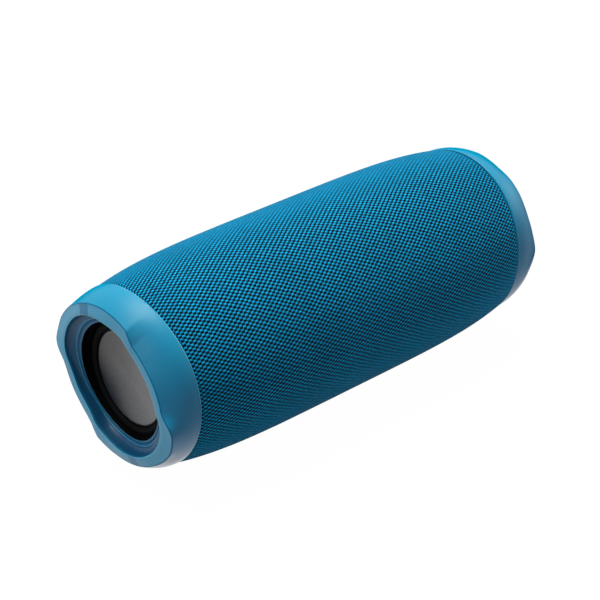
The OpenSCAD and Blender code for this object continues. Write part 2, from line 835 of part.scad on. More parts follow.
module board_screws() {
    color(steel) {
        at_main_board_screws() {
            translate([0, 0, -screw_head_t]) cylinder(r = screw_head_r, h = screw_head_t);
            translate([0, 0, -eps]) cylinder(r = screw_r, h = board_screw_l - 0.5);
        }
        at_control_board_screws() {
            translate([0, 0, board_t]) cylinder(r = screw_head_r, h = screw_head_t);
            translate([0, 0, 0.3 - board_screw_reach])
                cylinder(r = screw_r, h = board_t + board_screw_reach - 0.3 + eps);
        }
    }
}

// ---- controls and ports ----

module at_buttons() {
    for (i = [-2:2]) at_button(i) children();
}

// +Z of a button's own frame points out of the back
module at_button(i) {
    translate([i * button_pitch, 0, axis_z + button_z]) rotate([-90, 0, 0]) children();
}

module control_board() {
    color(board_green) difference() {
        translate([-pocket_l / 2 + 1, control_board_y, axis_z - pocket_w / 2 + 1])
            cube([pocket_l - 2, board_t, pocket_w - 2]);
        at_control_board_screws() translate([0, 0, -1]) cylinder(r = screw_r + screw_fit, h = board_t + 2);
    }
}

module tact_switches() {
    color(steel) at_buttons() {
        translate([-3, -3, board_top_y]) cube([6, 6, switch_h - 1]);
        translate([0, 0, board_top_y]) cylinder(r = 1.7, h = switch_h);
    }
}

module usb_port() {
    color(steel) {
        difference() {
            translate([-port_spacing / 2, 0, 0]) pill(9.2, 3.4, board_top_y, board_top_y + port_h, port_z);
            translate([-port_spacing / 2, 0, 0]) pill(8.4, 2.6, board_top_y + 1, board_top_y + port_h + 1, port_z);
        }
        translate([-port_spacing / 2 - 3, board_top_y, axis_z + port_z - 0.35]) cube([6, port_h - 0.8, 0.7]);
    }
}

module aux_jack() {
    color([0.1, 0.1, 0.1]) difference() {
        union() {
            translate([port_spacing / 2 - 3.5, board_top_y, axis_z + port_z - 3.5]) cube([7, port_h - 1.4, 7]);
            translate([port_spacing / 2, board_top_y, axis_z + port_z]) rotate([-90, 0, 0])
                cylinder(r = 3, h = port_h);
        }
        translate([port_spacing / 2, board_top_y + 1, axis_z + port_z]) rotate([-90, 0, 0])
            cylinder(r = jack_bore_r, h = port_h);
    }
}

module at_hinge() {
    translate([0, hinge_y, axis_z + hinge_z]) rotate([0, 90, 0]) children();
}

module control_strip() {
    color([0.08, 0.1, 0.13]) difference() {
        union() {
            intersection() {
                difference() {
                    barrel(strip_proud);
                    barrel(strip_proud - strip_t);
                }
                strip_window(0);
            }
            difference() {
                intersection() {
                    barrel(strip_proud - strip_t + eps);
                    strip_window(0);
                }
                strip_window(-strip_wall);
                along_x() cylinder(r = housing_r + slack, h = body_l, center = true);
            }
            intersection() {
                barrel(strip_proud - strip_t + eps);
                translate([-cover_l / 2 - 4, hinge_y - 2.9, axis_z + hinge_z - 3.2]) cube([cover_l + 8, 10, 6]);
                strip_window(0);
            }
        }
        at_buttons() cylinder(r = button_r + button_gap, h = body_d);
        difference() {
            cover_outline(cover_gap);
            barrel(strip_proud - cover_t - 0.2);
        }
        pill(cover_l - 8, port_slot_w, 0, body_d, port_z);
        at_hinge() cylinder(r = hinge_sweep_r, h = cover_l + 2 * cover_gap, center = true);
        at_hinge() cylinder(r = hinge_pin_r, h = cover_l + 6, center = true);
    }
}

module cover_outline(gap) {
    pill(cover_l + 2 * gap, cover_w + 2 * gap, 0, body_d, port_z);
    translate([-cover_l / 2 - gap, 0, axis_z + port_z - cover_w / 2 - gap])
        cube([cover_l + 2 * gap, body_d, cover_w / 2]);
}

module button(i) {
    color([0.1, 0.13, 0.17]) intersection() {
        at_button(i) {
            translate([0, 0, button_flange_y]) cylinder(r = button_r, h = body_d / 2);
            translate([0, 0, button_flange_y]) cylinder(r = button_r + 0.8, h = button_flange_t);
        }
        barrel(strip_proud + 0.6);
    }
}

module power_button() { button(-2); }

module volume_down_button() { button(-1); }

module play_button() { button(0); }

module volume_up_button() { button(1); }

module link_button() { button(2); }

module port_cover() {
    color([0.1, 0.12, 0.15]) difference() {
        union() {
            intersection() {
                difference() {
                    barrel(strip_proud);
                    barrel(strip_proud - cover_t);
                }
                cover_outline(0);
                translate([-body_l, 0, axis_z + hinge_z]) cube([2 * body_l, body_d, body_d]);
            }
            at_hinge() cylinder(r = hinge_r, h = cover_l, center = true);
        }
        at_hinge() cylinder(r = hinge_pin_r + hinge_gap, h = cover_l + 2, center = true);
    }
}

module port_cover_pin() {
    color(steel) at_hinge() cylinder(r = hinge_pin_r, h = cover_l + 6, center = true);
}

// ---- feet ----

module rubber_feet() {
    color([0.05, 0.07, 0.1]) for (side = [-1, 1]) {
        difference() {
            translate([side * foot_x - foot_l / 2, -foot_w / 2, 0]) cube([foot_l, foot_w, foot_h + 2.2]);
            barrel(slack);
        }
        difference() {
            translate([side * foot_x - foot_stem_l / 2, -foot_stem_w / 2, foot_h / 2])
                cube([foot_stem_l, foot_stem_w, foot_h + 9]);
            along_x() cylinder(r = housing_r + slack, h = body_l, center = true);
        }
    }
}

fabric_sleeve();
grille_shell();
front_housing();
rear_housing();
housing_screws();
left_end_ring();
right_end_ring();
left_bulkhead();
right_bulkhead();
left_radiator_gasket();
right_radiator_gasket();
left_radiator_frame();
right_radiator_frame();
left_radiator_surround();
right_radiator_surround();
left_radiator_disc();
right_radiator_disc();
left_radiator_weight();
right_radiator_weight();
radiator_screws();
left_driver_basket();
right_driver_basket();
left_driver_yoke();
right_driver_yoke();
left_driver_magnet();
right_driver_magnet();
left_driver_top_plate();
right_driver_top_plate();
left_voice_coil();
right_voice_coil();
left_driver_spider();
right_driver_spider();
left_driver_cone();
right_driver_cone();
left_dust_cap();
right_dust_cap();
left_driver_surround();
right_driver_surround();
driver_screws();
battery_cells();
battery_tray();
battery_leads();
main_board();
board_chips();
wireless_module();
board_screws();
speaker_wires();
control_board();
tact_switches();
usb_port();
aux_jack();
control_strip();
power_button();
volume_down_button();
play_button();
volume_up_button();
link_button();
port_cover();
port_cover_pin();
rubber_feet();
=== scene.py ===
import json
import math

import bmesh
import bpy
import numpy as np
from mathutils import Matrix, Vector

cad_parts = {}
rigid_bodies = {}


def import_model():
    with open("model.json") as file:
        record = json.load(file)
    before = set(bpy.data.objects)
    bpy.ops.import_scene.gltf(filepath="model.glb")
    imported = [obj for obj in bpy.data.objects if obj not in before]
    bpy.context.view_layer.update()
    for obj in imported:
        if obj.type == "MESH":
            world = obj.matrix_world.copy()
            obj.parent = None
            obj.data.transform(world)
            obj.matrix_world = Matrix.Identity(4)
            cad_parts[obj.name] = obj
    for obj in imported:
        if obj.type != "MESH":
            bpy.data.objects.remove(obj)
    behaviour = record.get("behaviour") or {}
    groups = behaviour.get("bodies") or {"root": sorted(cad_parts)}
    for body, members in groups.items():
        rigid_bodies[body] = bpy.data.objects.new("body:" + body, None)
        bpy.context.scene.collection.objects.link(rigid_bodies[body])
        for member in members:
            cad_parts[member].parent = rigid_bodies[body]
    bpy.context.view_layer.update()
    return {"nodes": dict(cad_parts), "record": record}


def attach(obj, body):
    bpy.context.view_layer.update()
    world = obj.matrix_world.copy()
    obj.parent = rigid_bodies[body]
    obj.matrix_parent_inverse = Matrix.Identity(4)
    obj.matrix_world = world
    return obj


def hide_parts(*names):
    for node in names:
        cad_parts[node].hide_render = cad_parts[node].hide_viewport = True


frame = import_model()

# ---- camera and studio ----
# The speaker lies on a white table and is seen from its left front, a little from above.
# One long lens, one broad lamp overhead, a weaker one off each end, and a pale room.

axis_z = 0.0447
view_azimuth, view_elevation, view_distance = 0.7292, 0.5286, 0.7730
aim_right, aim_up = -0.0037, -0.0010
sensor_w, lens_length = 36, 107.14

away = Vector((-math.cos(view_elevation) * math.sin(view_azimuth),
               -math.cos(view_elevation) * math.cos(view_azimuth), math.sin(view_elevation)))
middle = Vector((0, 0, axis_z))
right = (-away).cross(Vector((0, 0, 1))).normalized()
camera = bpy.data.objects.new("camera", bpy.data.cameras.new("camera"))
camera.data.sensor_width = sensor_w
camera.data.lens = lens_length
camera.location = middle + away * view_distance
aim = middle + right * aim_right + right.cross(-away) * aim_up
camera.rotation_euler = (aim - camera.location).to_track_quat("-Z", "Y").to_euler()
bpy.context.collection.objects.link(camera)
bpy.context.scene.camera = camera


def area_lamp(name, place, size, power, colour):
    lamp = bpy.data.objects.new(name, bpy.data.lights.new(name, "AREA"))
    lamp.data.shape, lamp.data.size, lamp.data.size_y = "RECTANGLE", size[0], size[1]
    lamp.data.energy, lamp.data.color = power, colour
    lamp.location = place
    lamp.rotation_euler = (middle - Vector(place)).to_track_quat("-Z", "Y").to_euler()
    bpy.context.collection.objects.link(lamp)


area_lamp("overhead_softbox", (0.0, 0.24, 1.13), (1.1, 0.5), 16.8, (1.0, 0.99, 0.93))
area_lamp("left_fill", (-1.15, 0.2, 0.65), (0.7, 0.5), 3.4, (0.95, 0.98, 1.0))
area_lamp("right_fill", (1.2, -0.35, 0.55), (0.7, 0.5), 3.5, (0.95, 0.98, 1.0))


def seen_white(tree, lit_shader, share):
    """Mixes the lit shader with another one, which only camera, gloss and glass rays see."""
    path = tree.nodes.new("ShaderNodeLightPath")
    seen = path.outputs["Is Camera Ray"]
    for way in ("Is Glossy Ray", "Is Transmission Ray"):
        either = tree.nodes.new("ShaderNodeMath")
        either.operation = "MAXIMUM"
        tree.links.new(seen, either.inputs[0])
        tree.links.new(path.outputs[way], either.inputs[1])
        seen = either.outputs[0]
    part = tree.nodes.new("ShaderNodeMath")
    part.operation = "MULTIPLY"
    part.inputs[1].default_value = share
    tree.links.new(seen, part.inputs[0])
    mix = tree.nodes.new("ShaderNodeMixShader")
    tree.links.new(part.outputs[0], mix.inputs[0])
    tree.links.new(lit_shader, mix.inputs[1])
    return mix


room_strength = 0.24
world = bpy.data.worlds.new("pale_room")
world.use_nodes = True
bpy.context.scene.world = world
room = world.node_tree
room_light = room.nodes["Background"]
room_light.inputs["Color"].default_value = (0.80, 0.88, 1.0, 1)
room_light.inputs["Strength"].default_value = room_strength
room_seen = room.nodes.new("ShaderNodeBackground")
room_seen.inputs["Color"].default_value = (1, 1, 1, 1)
room_mix = seen_white(room, room_light.outputs[0], 1.0)
room.links.new(room_seen.outputs[0], room_mix.inputs[2])
room.links.new(room_mix.outputs[0], room.nodes["World Output"].inputs["Surface"])

table_half, table_white, table_share = 4.0, 1.06, 0.93
square = (-1, -1), (1, -1), (1, 1), (-1, 1)
table_mesh = bpy.data.meshes.new("table_top")
table_mesh.from_pydata([(x * table_half, y * table_half, 0) for x, y in square], [], [(0, 1, 2, 3)])
table_top = bpy.data.objects.new("table_top", table_mesh)
bpy.context.collection.objects.link(table_top)
table_mat = bpy.data.materials.new("white_table")
table_mat.use_nodes = True
table_tree = table_mat.node_tree
table_bsdf = table_tree.nodes["Principled BSDF"]
table_bsdf.inputs["Base Color"].default_value = (0.35, 0.35, 0.35, 1)
table_bsdf.inputs["Roughness"].default_value = 0.9
table_bsdf.inputs["Specular IOR Level"].default_value = 0.1
table_seen = table_tree.nodes.new("ShaderNodeEmission")
table_seen.inputs["Color"].default_value = (1, 1, 1, 1)
table_seen.inputs["Strength"].default_value = table_white
table_mix = seen_white(table_tree, table_bsdf.outputs[0], table_share)
table_tree.links.new(table_seen.outputs[0], table_mix.inputs[2])
table_tree.links.new(table_mix.outputs[0], table_tree.nodes["Material Output"].inputs["Surface"])
table_mesh.materials.append(table_mat)
bpy.context.scene.view_settings.view_transform = "Standard"

# ---- fabric sleeve ----
# A knitted polyester tube, stretched over the perforated shell and tucked in behind both end rings.
# Its stitches leave staggered rows of small dark holes between raised blue loops; the loops' tops carry a
# painted highlight and their sides a painted shade.

MM = 0.001
body_r, seam_r, seam_x, bulge_power = 43.5, 38.8, 93.6, 4.4
seam_sweep_r, seam_turn = 240.0, math.radians(80)
seam_gap, cloth_t, cloth_tuck, tuck_depth = 0.3, 0.8, 1.1, 0.45
strip_l, strip_w, window_gap = 120.0, 32.0, 0.3
window_from_y, window_to_y, foot_window_spare = 5.0, 60.0, 10.0
foot_x, foot_stem_l, foot_stem_w = 50.0, 24.0, 21.0
loops_around, loop_pitch, noise_rough = 142, 2.963, 0.6


def barrel_r(x):
    """Radius of the sleeve's outside, at a distance from the middle."""
    return body_r - (body_r - seam_r) * (np.abs(x) / seam_x) ** bulge_power


def seam_at(turn, radius, gap=0.0):
    """How far from the middle the seam lies, at an angle from the back towards the top."""
    r = seam_sweep_r - gap
    return seam_x - seam_sweep_r + np.sqrt(r * r - (radius * np.sin(turn - seam_turn)) ** 2)


def grid_mesh(name, points, close_v=False):
    """A mesh from an (n, m, 3) array in millimetres, closed round its first direction."""
    n, m, _ = points.shape
    faces = []
    for i in range(n):
        for j in range(m if close_v else m - 1):
            a, b = (i + 1) % n, (j + 1) % m
            faces.append((i * m + j, a * m + j, a * m + b, i * m + b))
    mesh = bpy.data.meshes.new(name)
    mesh.from_pydata((points.reshape(-1, 3) * MM).tolist(), [], faces)
    mesh.update()
    return mesh


def tidy_mesh(mesh, angle=35.0, merge=1e-7):
    """Merges doubles, turns the faces outwards and shades smooth across gentle edges."""
    work = bmesh.new()
    work.from_mesh(mesh)
    bmesh.ops.remove_doubles(work, verts=work.verts, dist=merge)
    bmesh.ops.recalc_face_normals(work, faces=work.faces)
    work.to_mesh(mesh)
    work.free()
    mesh.polygons.foreach_set("use_smooth", [True] * len(mesh.polygons))
    mesh.set_sharp_from_angle(angle=math.radians(angle))
    mesh.update()


def piece(name, mesh, *materials):
    obj = bpy.data.objects.new(name, mesh)
    for m in materials:
        mesh.materials.append(m)
    bpy.context.collection.objects.link(obj)
    return obj


def apply_all(obj):
    """Turns an object's modifiers into plain mesh."""
    graph = bpy.context.evaluated_depsgraph_get()
    flat = bpy.data.meshes.new_from_object(obj.evaluated_get(graph))
    obj.modifiers.clear()
    old = obj.data
    obj.data = flat
    bpy.data.meshes.remove(old)
    flat.name = obj.name


def pill_points(length, width):
    """Outline of a bar with round ends, in X and Z, in millimetres."""
    r, half, end_steps = width / 2, (length - width) / 2, 20
    turns = np.linspace(-math.pi / 2, math.pi / 2, end_steps)
    side = [(half + r * math.cos(t), r * math.sin(t)) for t in turns]
    return side + [(-x, -z) for x, z in side]


def prism(name, outline, y_from, y_to):
    """A closed prism along Y over an outline in X and Z."""
    n = len(outline)
    verts = [(x * MM, y * MM, axis_z + z * MM) for y in (y_from, y_to) for x, z in outline]
    faces = [tuple(range(n)), tuple(range(2 * n - 1, n - 1, -1))]
    faces += [(i, i + n, (i + 1) % n + n, (i + 1) % n) for i in range(n)]
    mesh = bpy.data.meshes.new(name)
    mesh.from_pydata(verts, [], faces)
    tidy_mesh(mesh)
    return mesh


def cut_away(obj, cutters):
    """Cuts the cutters' meshes out of an object and throws them away."""
    for number, mesh in enumerate(cutters):
        cutter = bpy.data.objects.new(f"{obj.name}_cutter{number}", mesh)
        bpy.context.collection.objects.link(cutter)
        mod = obj.modifiers.new(f"cut{number}", "BOOLEAN")
        mod.operation, mod.object, mod.solver = "DIFFERENCE", cutter, "EXACT"
    apply_all(obj)
    for o in [o for o in bpy.data.objects if o.name.startswith(f"{obj.name}_cutter")]:
        bpy.data.objects.remove(o)


turns_n, stations_n = 288, 96
turn = np.linspace(0, 2 * math.pi, turns_n, endpoint=False)
left_end = seam_at(turn, seam_r, seam_gap)
right_end = seam_at(math.pi - turn, seam_r, seam_gap)
near_edge = [0.988, 0.994, 0.9985, 1]
share = np.concatenate([[-e for e in reversed(near_edge)], np.linspace(-0.975, 0.975, stations_n), near_edge])
ends = np.where(share[None, :] < 0, left_end[:, None], right_end[:, None])
cloth_x = ends * share[None, :]
from_edge = ends - np.abs(cloth_x)
tuck = np.clip(1 - from_edge / cloth_tuck, 0, 1)
cloth_r = barrel_r(cloth_x) - tuck_depth * (1 - np.sqrt(1 - tuck * tuck))
inner_r = barrel_r(cloth_x) - cloth_t
layers = []
for radius, order in ((cloth_r, slice(None)), (inner_r, slice(None, None, -1))):
    x, r = cloth_x[:, order], radius[:, order]
    layers.append(np.stack([x, r * np.cos(turn)[:, None], axis_z / MM + r * np.sin(turn)[:, None]], -1))
sleeve_mesh = grid_mesh("sleeve", np.concatenate(layers, axis=1), close_v=True)
tidy_mesh(sleeve_mesh)


COLOUR, VALUE, VECTOR = "NodeSocketColor", "NodeSocketFloat", "NodeSocketVector"


def shader_group(name, inputs):
    """A shader node group, with its end nodes, that puts out a colour, a roughness and a normal."""
    group = bpy.data.node_groups.new(name, "ShaderNodeTree")
    for label, kind, value in inputs:
        socket = group.interface.new_socket(label, in_out="INPUT", socket_type=kind)
        socket.default_value = value
    for label, kind in (("Colour", COLOUR), ("Roughness", VALUE), ("Normal", VECTOR)):
        group.interface.new_socket(label, in_out="OUTPUT", socket_type=kind)
    return group, group.nodes.new("NodeGroupInput"), group.nodes.new("NodeGroupOutput")


def put(tree, value, socket):
    """Links a socket, or sets a plain value."""
    if isinstance(value, bpy.types.NodeSocket):
        tree.links.new(value, socket)
    elif value is not None:
        socket.default_value = value


def math_node(tree, operation, a, b=None, c=None):
    node = tree.nodes.new("ShaderNodeMath")
    node.operation = operation
    for i, v in enumerate((a, b, c)):
        put(tree, v, node.inputs[i])
    return node.outputs[0]


def blend_colour(tree, fac, a, b, mode="MIX"):
    node = tree.nodes.new("ShaderNodeMix")
    node.data_type, node.blend_type = "RGBA", mode
    put(tree, fac, node.inputs[0])
    put(tree, a, node.inputs[6])
    put(tree, b, node.inputs[7])
    return node.outputs[2]


def ramp_value(tree, value, low, high, out_low=0.0, out_high=1.0):
    node = tree.nodes.new("ShaderNodeMapRange")
    node.interpolation_type = "SMOOTHSTEP"
    for i, v in enumerate((value, low, high, out_low, out_high)):
        put(tree, v, node.inputs[i])
    return node.outputs[0]


def noise_value(tree, vector, scale, detail):
    node = tree.nodes.new("ShaderNodeTexNoise")
    put(tree, vector, node.inputs["Vector"])
    put(tree, scale, node.inputs["Scale"])
    node.inputs["Detail"].default_value = detail
    node.inputs["Roughness"].default_value = noise_rough
    return node.outputs["Fac"]


def bump_normal(tree, height, distance):
    node = tree.nodes.new("ShaderNodeBump")
    put(tree, height, node.inputs["Height"])
    put(tree, distance, node.inputs["Distance"])
    node.inputs["Strength"].default_value = 1.0
    return node.outputs["Normal"]


full_turn, stray_around, stray_along, closed_crest = 2 * math.pi, 0.34, -0.30, 0.26
weave_lean, weave_scale, strand_relief, fuzz_relief = 1.2, -0.2273, 0.10, 0.08
strands_around, strands_along = 9.0, 3.0
stray_grain, fuzz_grain, patch_grain, fleck_grain = 260.0, 4200.0, 45.0, 1250.0
strand_dark, patch_dark, fleck_dark = (0.001, 0.04, 0.08, 1), (0.004, 0.10, 0.19, 1), (0.002, 0.14, 0.29, 1)
# The loop colour is the lit colour of the loops' tops; the side colour is painted shade on their flanks.
knit, kin, kout = shader_group("knitted_loops", [
    ("Loop colour", COLOUR, (0.004, 0.56, 0.98, 1)), ("Side colour", COLOUR, (0.002, 0.15, 0.32, 1)),
    ("Hole colour", COLOUR, (0.0004, 0.001, 0.003, 1)), ("Loops around", VALUE, 142.0),
    ("Pitch", VALUE, 0.003), ("Axis height", VALUE, axis_z), ("Relief", VALUE, 0.0004),
    ("Openness", VALUE, 1.0)])
coords = knit.nodes.new("ShaderNodeTexCoord")
split = knit.nodes.new("ShaderNodeSeparateXYZ")
knit.links.new(coords.outputs["Object"], split.inputs[0])
stray = math_node(knit, "SUBTRACT", noise_value(knit, coords.outputs["Object"], stray_grain, 2.0), 0.5)
height_z = math_node(knit, "SUBTRACT", split.outputs[2], kin.outputs["Axis height"])
angle = math_node(knit, "ARCTAN2", height_z, split.outputs[1])
around = math_node(knit, "MULTIPLY", math_node(knit, "DIVIDE", angle, full_turn), kin.outputs["Loops around"])
around = math_node(knit, "ADD", around, math_node(knit, "MULTIPLY", stray, stray_around))
along = math_node(knit, "DIVIDE", split.outputs[0], kin.outputs["Pitch"])
along = math_node(knit, "ADD", along, math_node(knit, "MULTIPLY", stray, stray_along))
waves = []
for way in ("ADD", "SUBTRACT"):
    slant = math_node(knit, "MULTIPLY", math_node(knit, way, around, along), full_turn)
    waves.append(math_node(knit, "COSINE", slant))
waves[0] = math_node(knit, "MULTIPLY", waves[0], weave_lean)
loop = math_node(knit, "MULTIPLY_ADD", math_node(knit, "ADD", *waves), weave_scale, 0.5)
hole = math_node(knit, "MULTIPLY", ramp_value(knit, loop, 0.38, 0.54, 1.0, 0.0), kin.outputs["Openness"])
# Painted highlight and shade: where the loops rise the lit loop colour shows, and on their flanks the darker
# side colour.
crest_highlight = math_node(knit, "SUBTRACT", ramp_value(knit, loop, 0.48, 0.88), closed_crest)
crest_highlight = math_node(knit, "ADD", math_node(knit, "MULTIPLY", crest_highlight, kin.outputs["Openness"]), closed_crest)
strand = math_node(knit, "ADD", math_node(knit, "MULTIPLY", around, strands_around),
                   math_node(knit, "MULTIPLY", along, strands_along))
strand = math_node(knit, "SINE", math_node(knit, "MULTIPLY", strand, full_turn))
strand = math_node(knit, "MULTIPLY_ADD", strand, 0.5, 0.5)
fuzz = noise_value(knit, coords.outputs["Object"], fuzz_grain, 2.0)
tone = blend_colour(knit, crest_highlight, kin.outputs["Side colour"], kin.outputs["Loop colour"])
tone = blend_colour(knit, math_node(knit, "MULTIPLY", strand, 0.25), tone, strand_dark)
patch = noise_value(knit, coords.outputs["Object"], patch_grain, 2.0)
tone = blend_colour(knit, ramp_value(knit, patch, 0.35, 0.75, 0.0, 0.16), tone, patch_dark)
fleck = noise_value(knit, coords.outputs["Object"], fleck_grain, 1.0)
tone = blend_colour(knit, ramp_value(knit, fleck, 0.42, 0.62, 0.0, 0.4), tone, fleck_dark)
tone = blend_colour(knit, hole, tone, kin.outputs["Hole colour"])
knit.links.new(tone, kout.inputs["Colour"])
knit.links.new(ramp_value(knit, fuzz, 0.3, 0.7, 0.62, 0.8), kout.inputs["Roughness"])
relief = math_node(knit, "ADD", loop, math_node(knit, "MULTIPLY", strand, strand_relief))
relief = math_node(knit, "ADD", relief, math_node(knit, "MULTIPLY", fuzz, fuzz_relief))
knit.links.new(bump_normal(knit, relief, kin.outputs["Relief"]), kout.inputs["Normal"])


def blank_material(name, **constants):
    """A material with its own shader; numbers that never change are set straight on the shader."""
    mat = bpy.data.materials.new(name)
    mat.use_nodes = True
    shader = mat.node_tree.nodes["Principled BSDF"]
    for label, value in constants.items():
        shader.inputs[label.replace("_", " ")].default_value = value
    return mat, mat.node_tree, shader


def use_group(tree, group, shader, **values):
    """Places an effect group in a material and links what it puts out to the shader."""
    node = tree.nodes.new("ShaderNodeGroup")
    node.node_tree = group
    for label, value in values.items():
        node.inputs[label.replace("_", " ")].default_value = value
    for label, target in (("Colour", "Base Color"), ("Roughness", "Roughness"), ("Normal", "Normal")):
        tree.links.new(node.outputs[label], shader.inputs[target])
    return node


cloth_mat, cloth_tree, cloth_shader = blank_material("knitted_blue_polyester", Specular_IOR_Level=0.05)
cloth_knit = use_group(cloth_tree, knit, cloth_shader, Loops_around=loops_around, Pitch=loop_pitch * MM,
                       Axis_height=axis_z)
cloth_turn = cloth_tree.nodes.new("ShaderNodeLayerWeight")
cloth_turn.inputs["Blend"].default_value = 0.5
openness = ramp_value(cloth_tree, cloth_turn.outputs["Facing"], 0.38, 0.78, 1.0, 0.3)
cloth_tree.links.new(openness, cloth_knit.inputs["Openness"])

sleeve = piece("knitted_sleeve", sleeve_mesh, cloth_mat)
strip_window = pill_points(strip_l + 2 * window_gap, strip_w + 2 * window_gap)
cutters = [prism("strip_window", strip_window, window_from_y, window_to_y)]
for side in (-1, 1):
    window = bpy.data.meshes.new("foot_window")
    hx, hy = foot_stem_l / 2 + window_gap, foot_stem_w / 2 + window_gap
    corners = [((side * foot_x + sx * hx) * MM, sy * hy * MM, z - foot_window_spare * MM)
               for z in (0, axis_z) for sx, sy in square]
    window.from_pydata(corners, [], [(3, 2, 1, 0), (4, 5, 6, 7), (0, 1, 5, 4), (1, 2, 6, 5), (2, 3, 7, 6),
                                     (3, 0, 4, 7)])
    cutters.append(window)
cut_away(sleeve, cutters)
tidy_mesh(sleeve.data)
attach(sleeve, "chassis")
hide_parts("fabric_sleeve")

# ---- end rings ----
# Each end is one satin-finished moulding: a skin that carries on from the fabric, a rim, and a stepped
# bowl down to the round opening. Its zones carry lit and shaded copies of the moulding's blue: a painted
# highlight on the left seam edge and on the inner rim edge, painted light on the face, and painted shade on
# the skin away from its top, on the rounded rim edge, on two facet stretches of the face and on the bowl,
# its cove and its bead. The left rim has two broad lobes and two low narrow stretches; the right rim is
# more even, and the rest of that end is the left one turned half round.

ring_r, skin_x, lip_x, opening_r = 39.2, 93.3, 101.5, 25.45
lip_wave_turn, mouth_wave_r, mouth_wave_x, mouth_depth = 18.0, 0.3, 0.95, 0.8
edge_r, inner_edge_r, edge_fall, skin_curve = 0.4, 0.3, 0.1, 1.85
collar_in_r, collar_out_r, surround_x = 25.8, 28.0, 96.4
skirt_out_r, skirt_in_r = 37.1, 36.3

# Angles run from the back towards the top, in degrees. Each of them has a radius or a distance from the
# middle in millimetres; a facet, a stretch of the face painted darker as painted shade, has its first and
# last angle.
shaded_facets = (56, 67), (243, 252)
rim_outer = [
    (3, 37.4), (7, 38.7), (11, 38.9), (24, 38.7), (36, 37.4), (48, 36.0), (60, 35.1), (72, 34.4),
    (90, 33.6), (111.5, 33.3), (114, 32.3), (121.5, 30.0), (128, 29.85), (138, 30.0), (150, 30.9),
    (162, 31.8), (168, 32.3), (174, 33.0), (177, 34.0)]
right_outer = [
    (0, 36.0), (12, 35.9), (28, 35.6), (46, 35.6), (58, 35.2), (64, 34.8), (70, 34.5), (81, 34.9),
    (92, 35.3), (102, 35.3), (120, 35.5), (148, 35.5), (163, 35.3), (175, 35.8)]
rim_inner = [
    (6, 31.6), (13, 32.2), (24, 32.3), (36, 31.8), (48, 31.2), (60, 30.4), (72, 29.5), (84, 28.6),
    (96, 28.0), (108, 27.8), (115, 27.3), (123, 26.3), (130, 25.9), (138, 26.0), (150, 26.9),
    (162, 27.6), (174, 28.9), (181, 30.6)]
rim_outer_x = [
    (6, 105.3), (13, 104.5), (26, 104.0), (36, 104.2), (50, 104.8), (60, 105.1), (84, 105.1),
    (108, 105.5), (117, 105.95), (128, 105.55), (168, 105.55), (179, 106.0)]
rim_inner_x = [
    (4, 105.9), (18, 105.6), (36, 105.6), (52, 106.3), (84, 106.4), (104, 105.9), (117, 106.15),
    (130, 105.6), (168, 105.55), (179, 106.0)]


def round_table(table, spread):
    """A value for each degree of a half turn, repeated round the ring, with its corners eased."""
    degrees = np.arange(0, 180, 1.0)
    values = np.interp(degrees, [d for d, _ in table], [v for _, v in table], period=180)
    reach = np.arange(-60, 61)
    weights = np.exp(-0.5 * (reach / spread) ** 2)
    weights /= weights.sum()
    return sum(w * np.roll(values, -k) for k, w in zip(reach, weights))


outer_edge, outer_soft = round_table(rim_outer, 0.7), round_table(rim_outer, 11.0)
right_edge, right_soft = round_table(right_outer, 1.5), round_table(right_outer, 11.0)
inner_edge = round_table(rim_inner, 1.4)
outer_edge_x, inner_edge_x = round_table(rim_outer_x, 3.0), round_table(rim_inner_x, 3.0)
wave = np.cos(2 * np.radians(np.arange(180) - lip_wave_turn))
mouth_r, mouth_x = opening_r + mouth_wave_r * wave, lip_x - mouth_depth + mouth_wave_x * wave
SKIN, EDGE_HIGHLIGHT, RIM_EDGE_SHADE, FACE, BOWL, FACET_SHADE, THROAT, COVE, BEAD = range(9)
floor_rise, floor_w, floor_share, cove_end, bead_from = 0.75, 3.1, 0.55, 75, 0.7
bowl_steps = [
    (0.93, 0.78), (0.86, 0.92), (0.79, 0.95), (0.72, 0.86), (0.67, 0.6), (0.62, 0.1), (0.56, -0.2),
    (0.5, -0.27), (0.44, -0.18), (0.39, 0.04), (0.34, 0.18), (0.22, 0.2), (0.1, 0.12), (0.03, -0.02)]


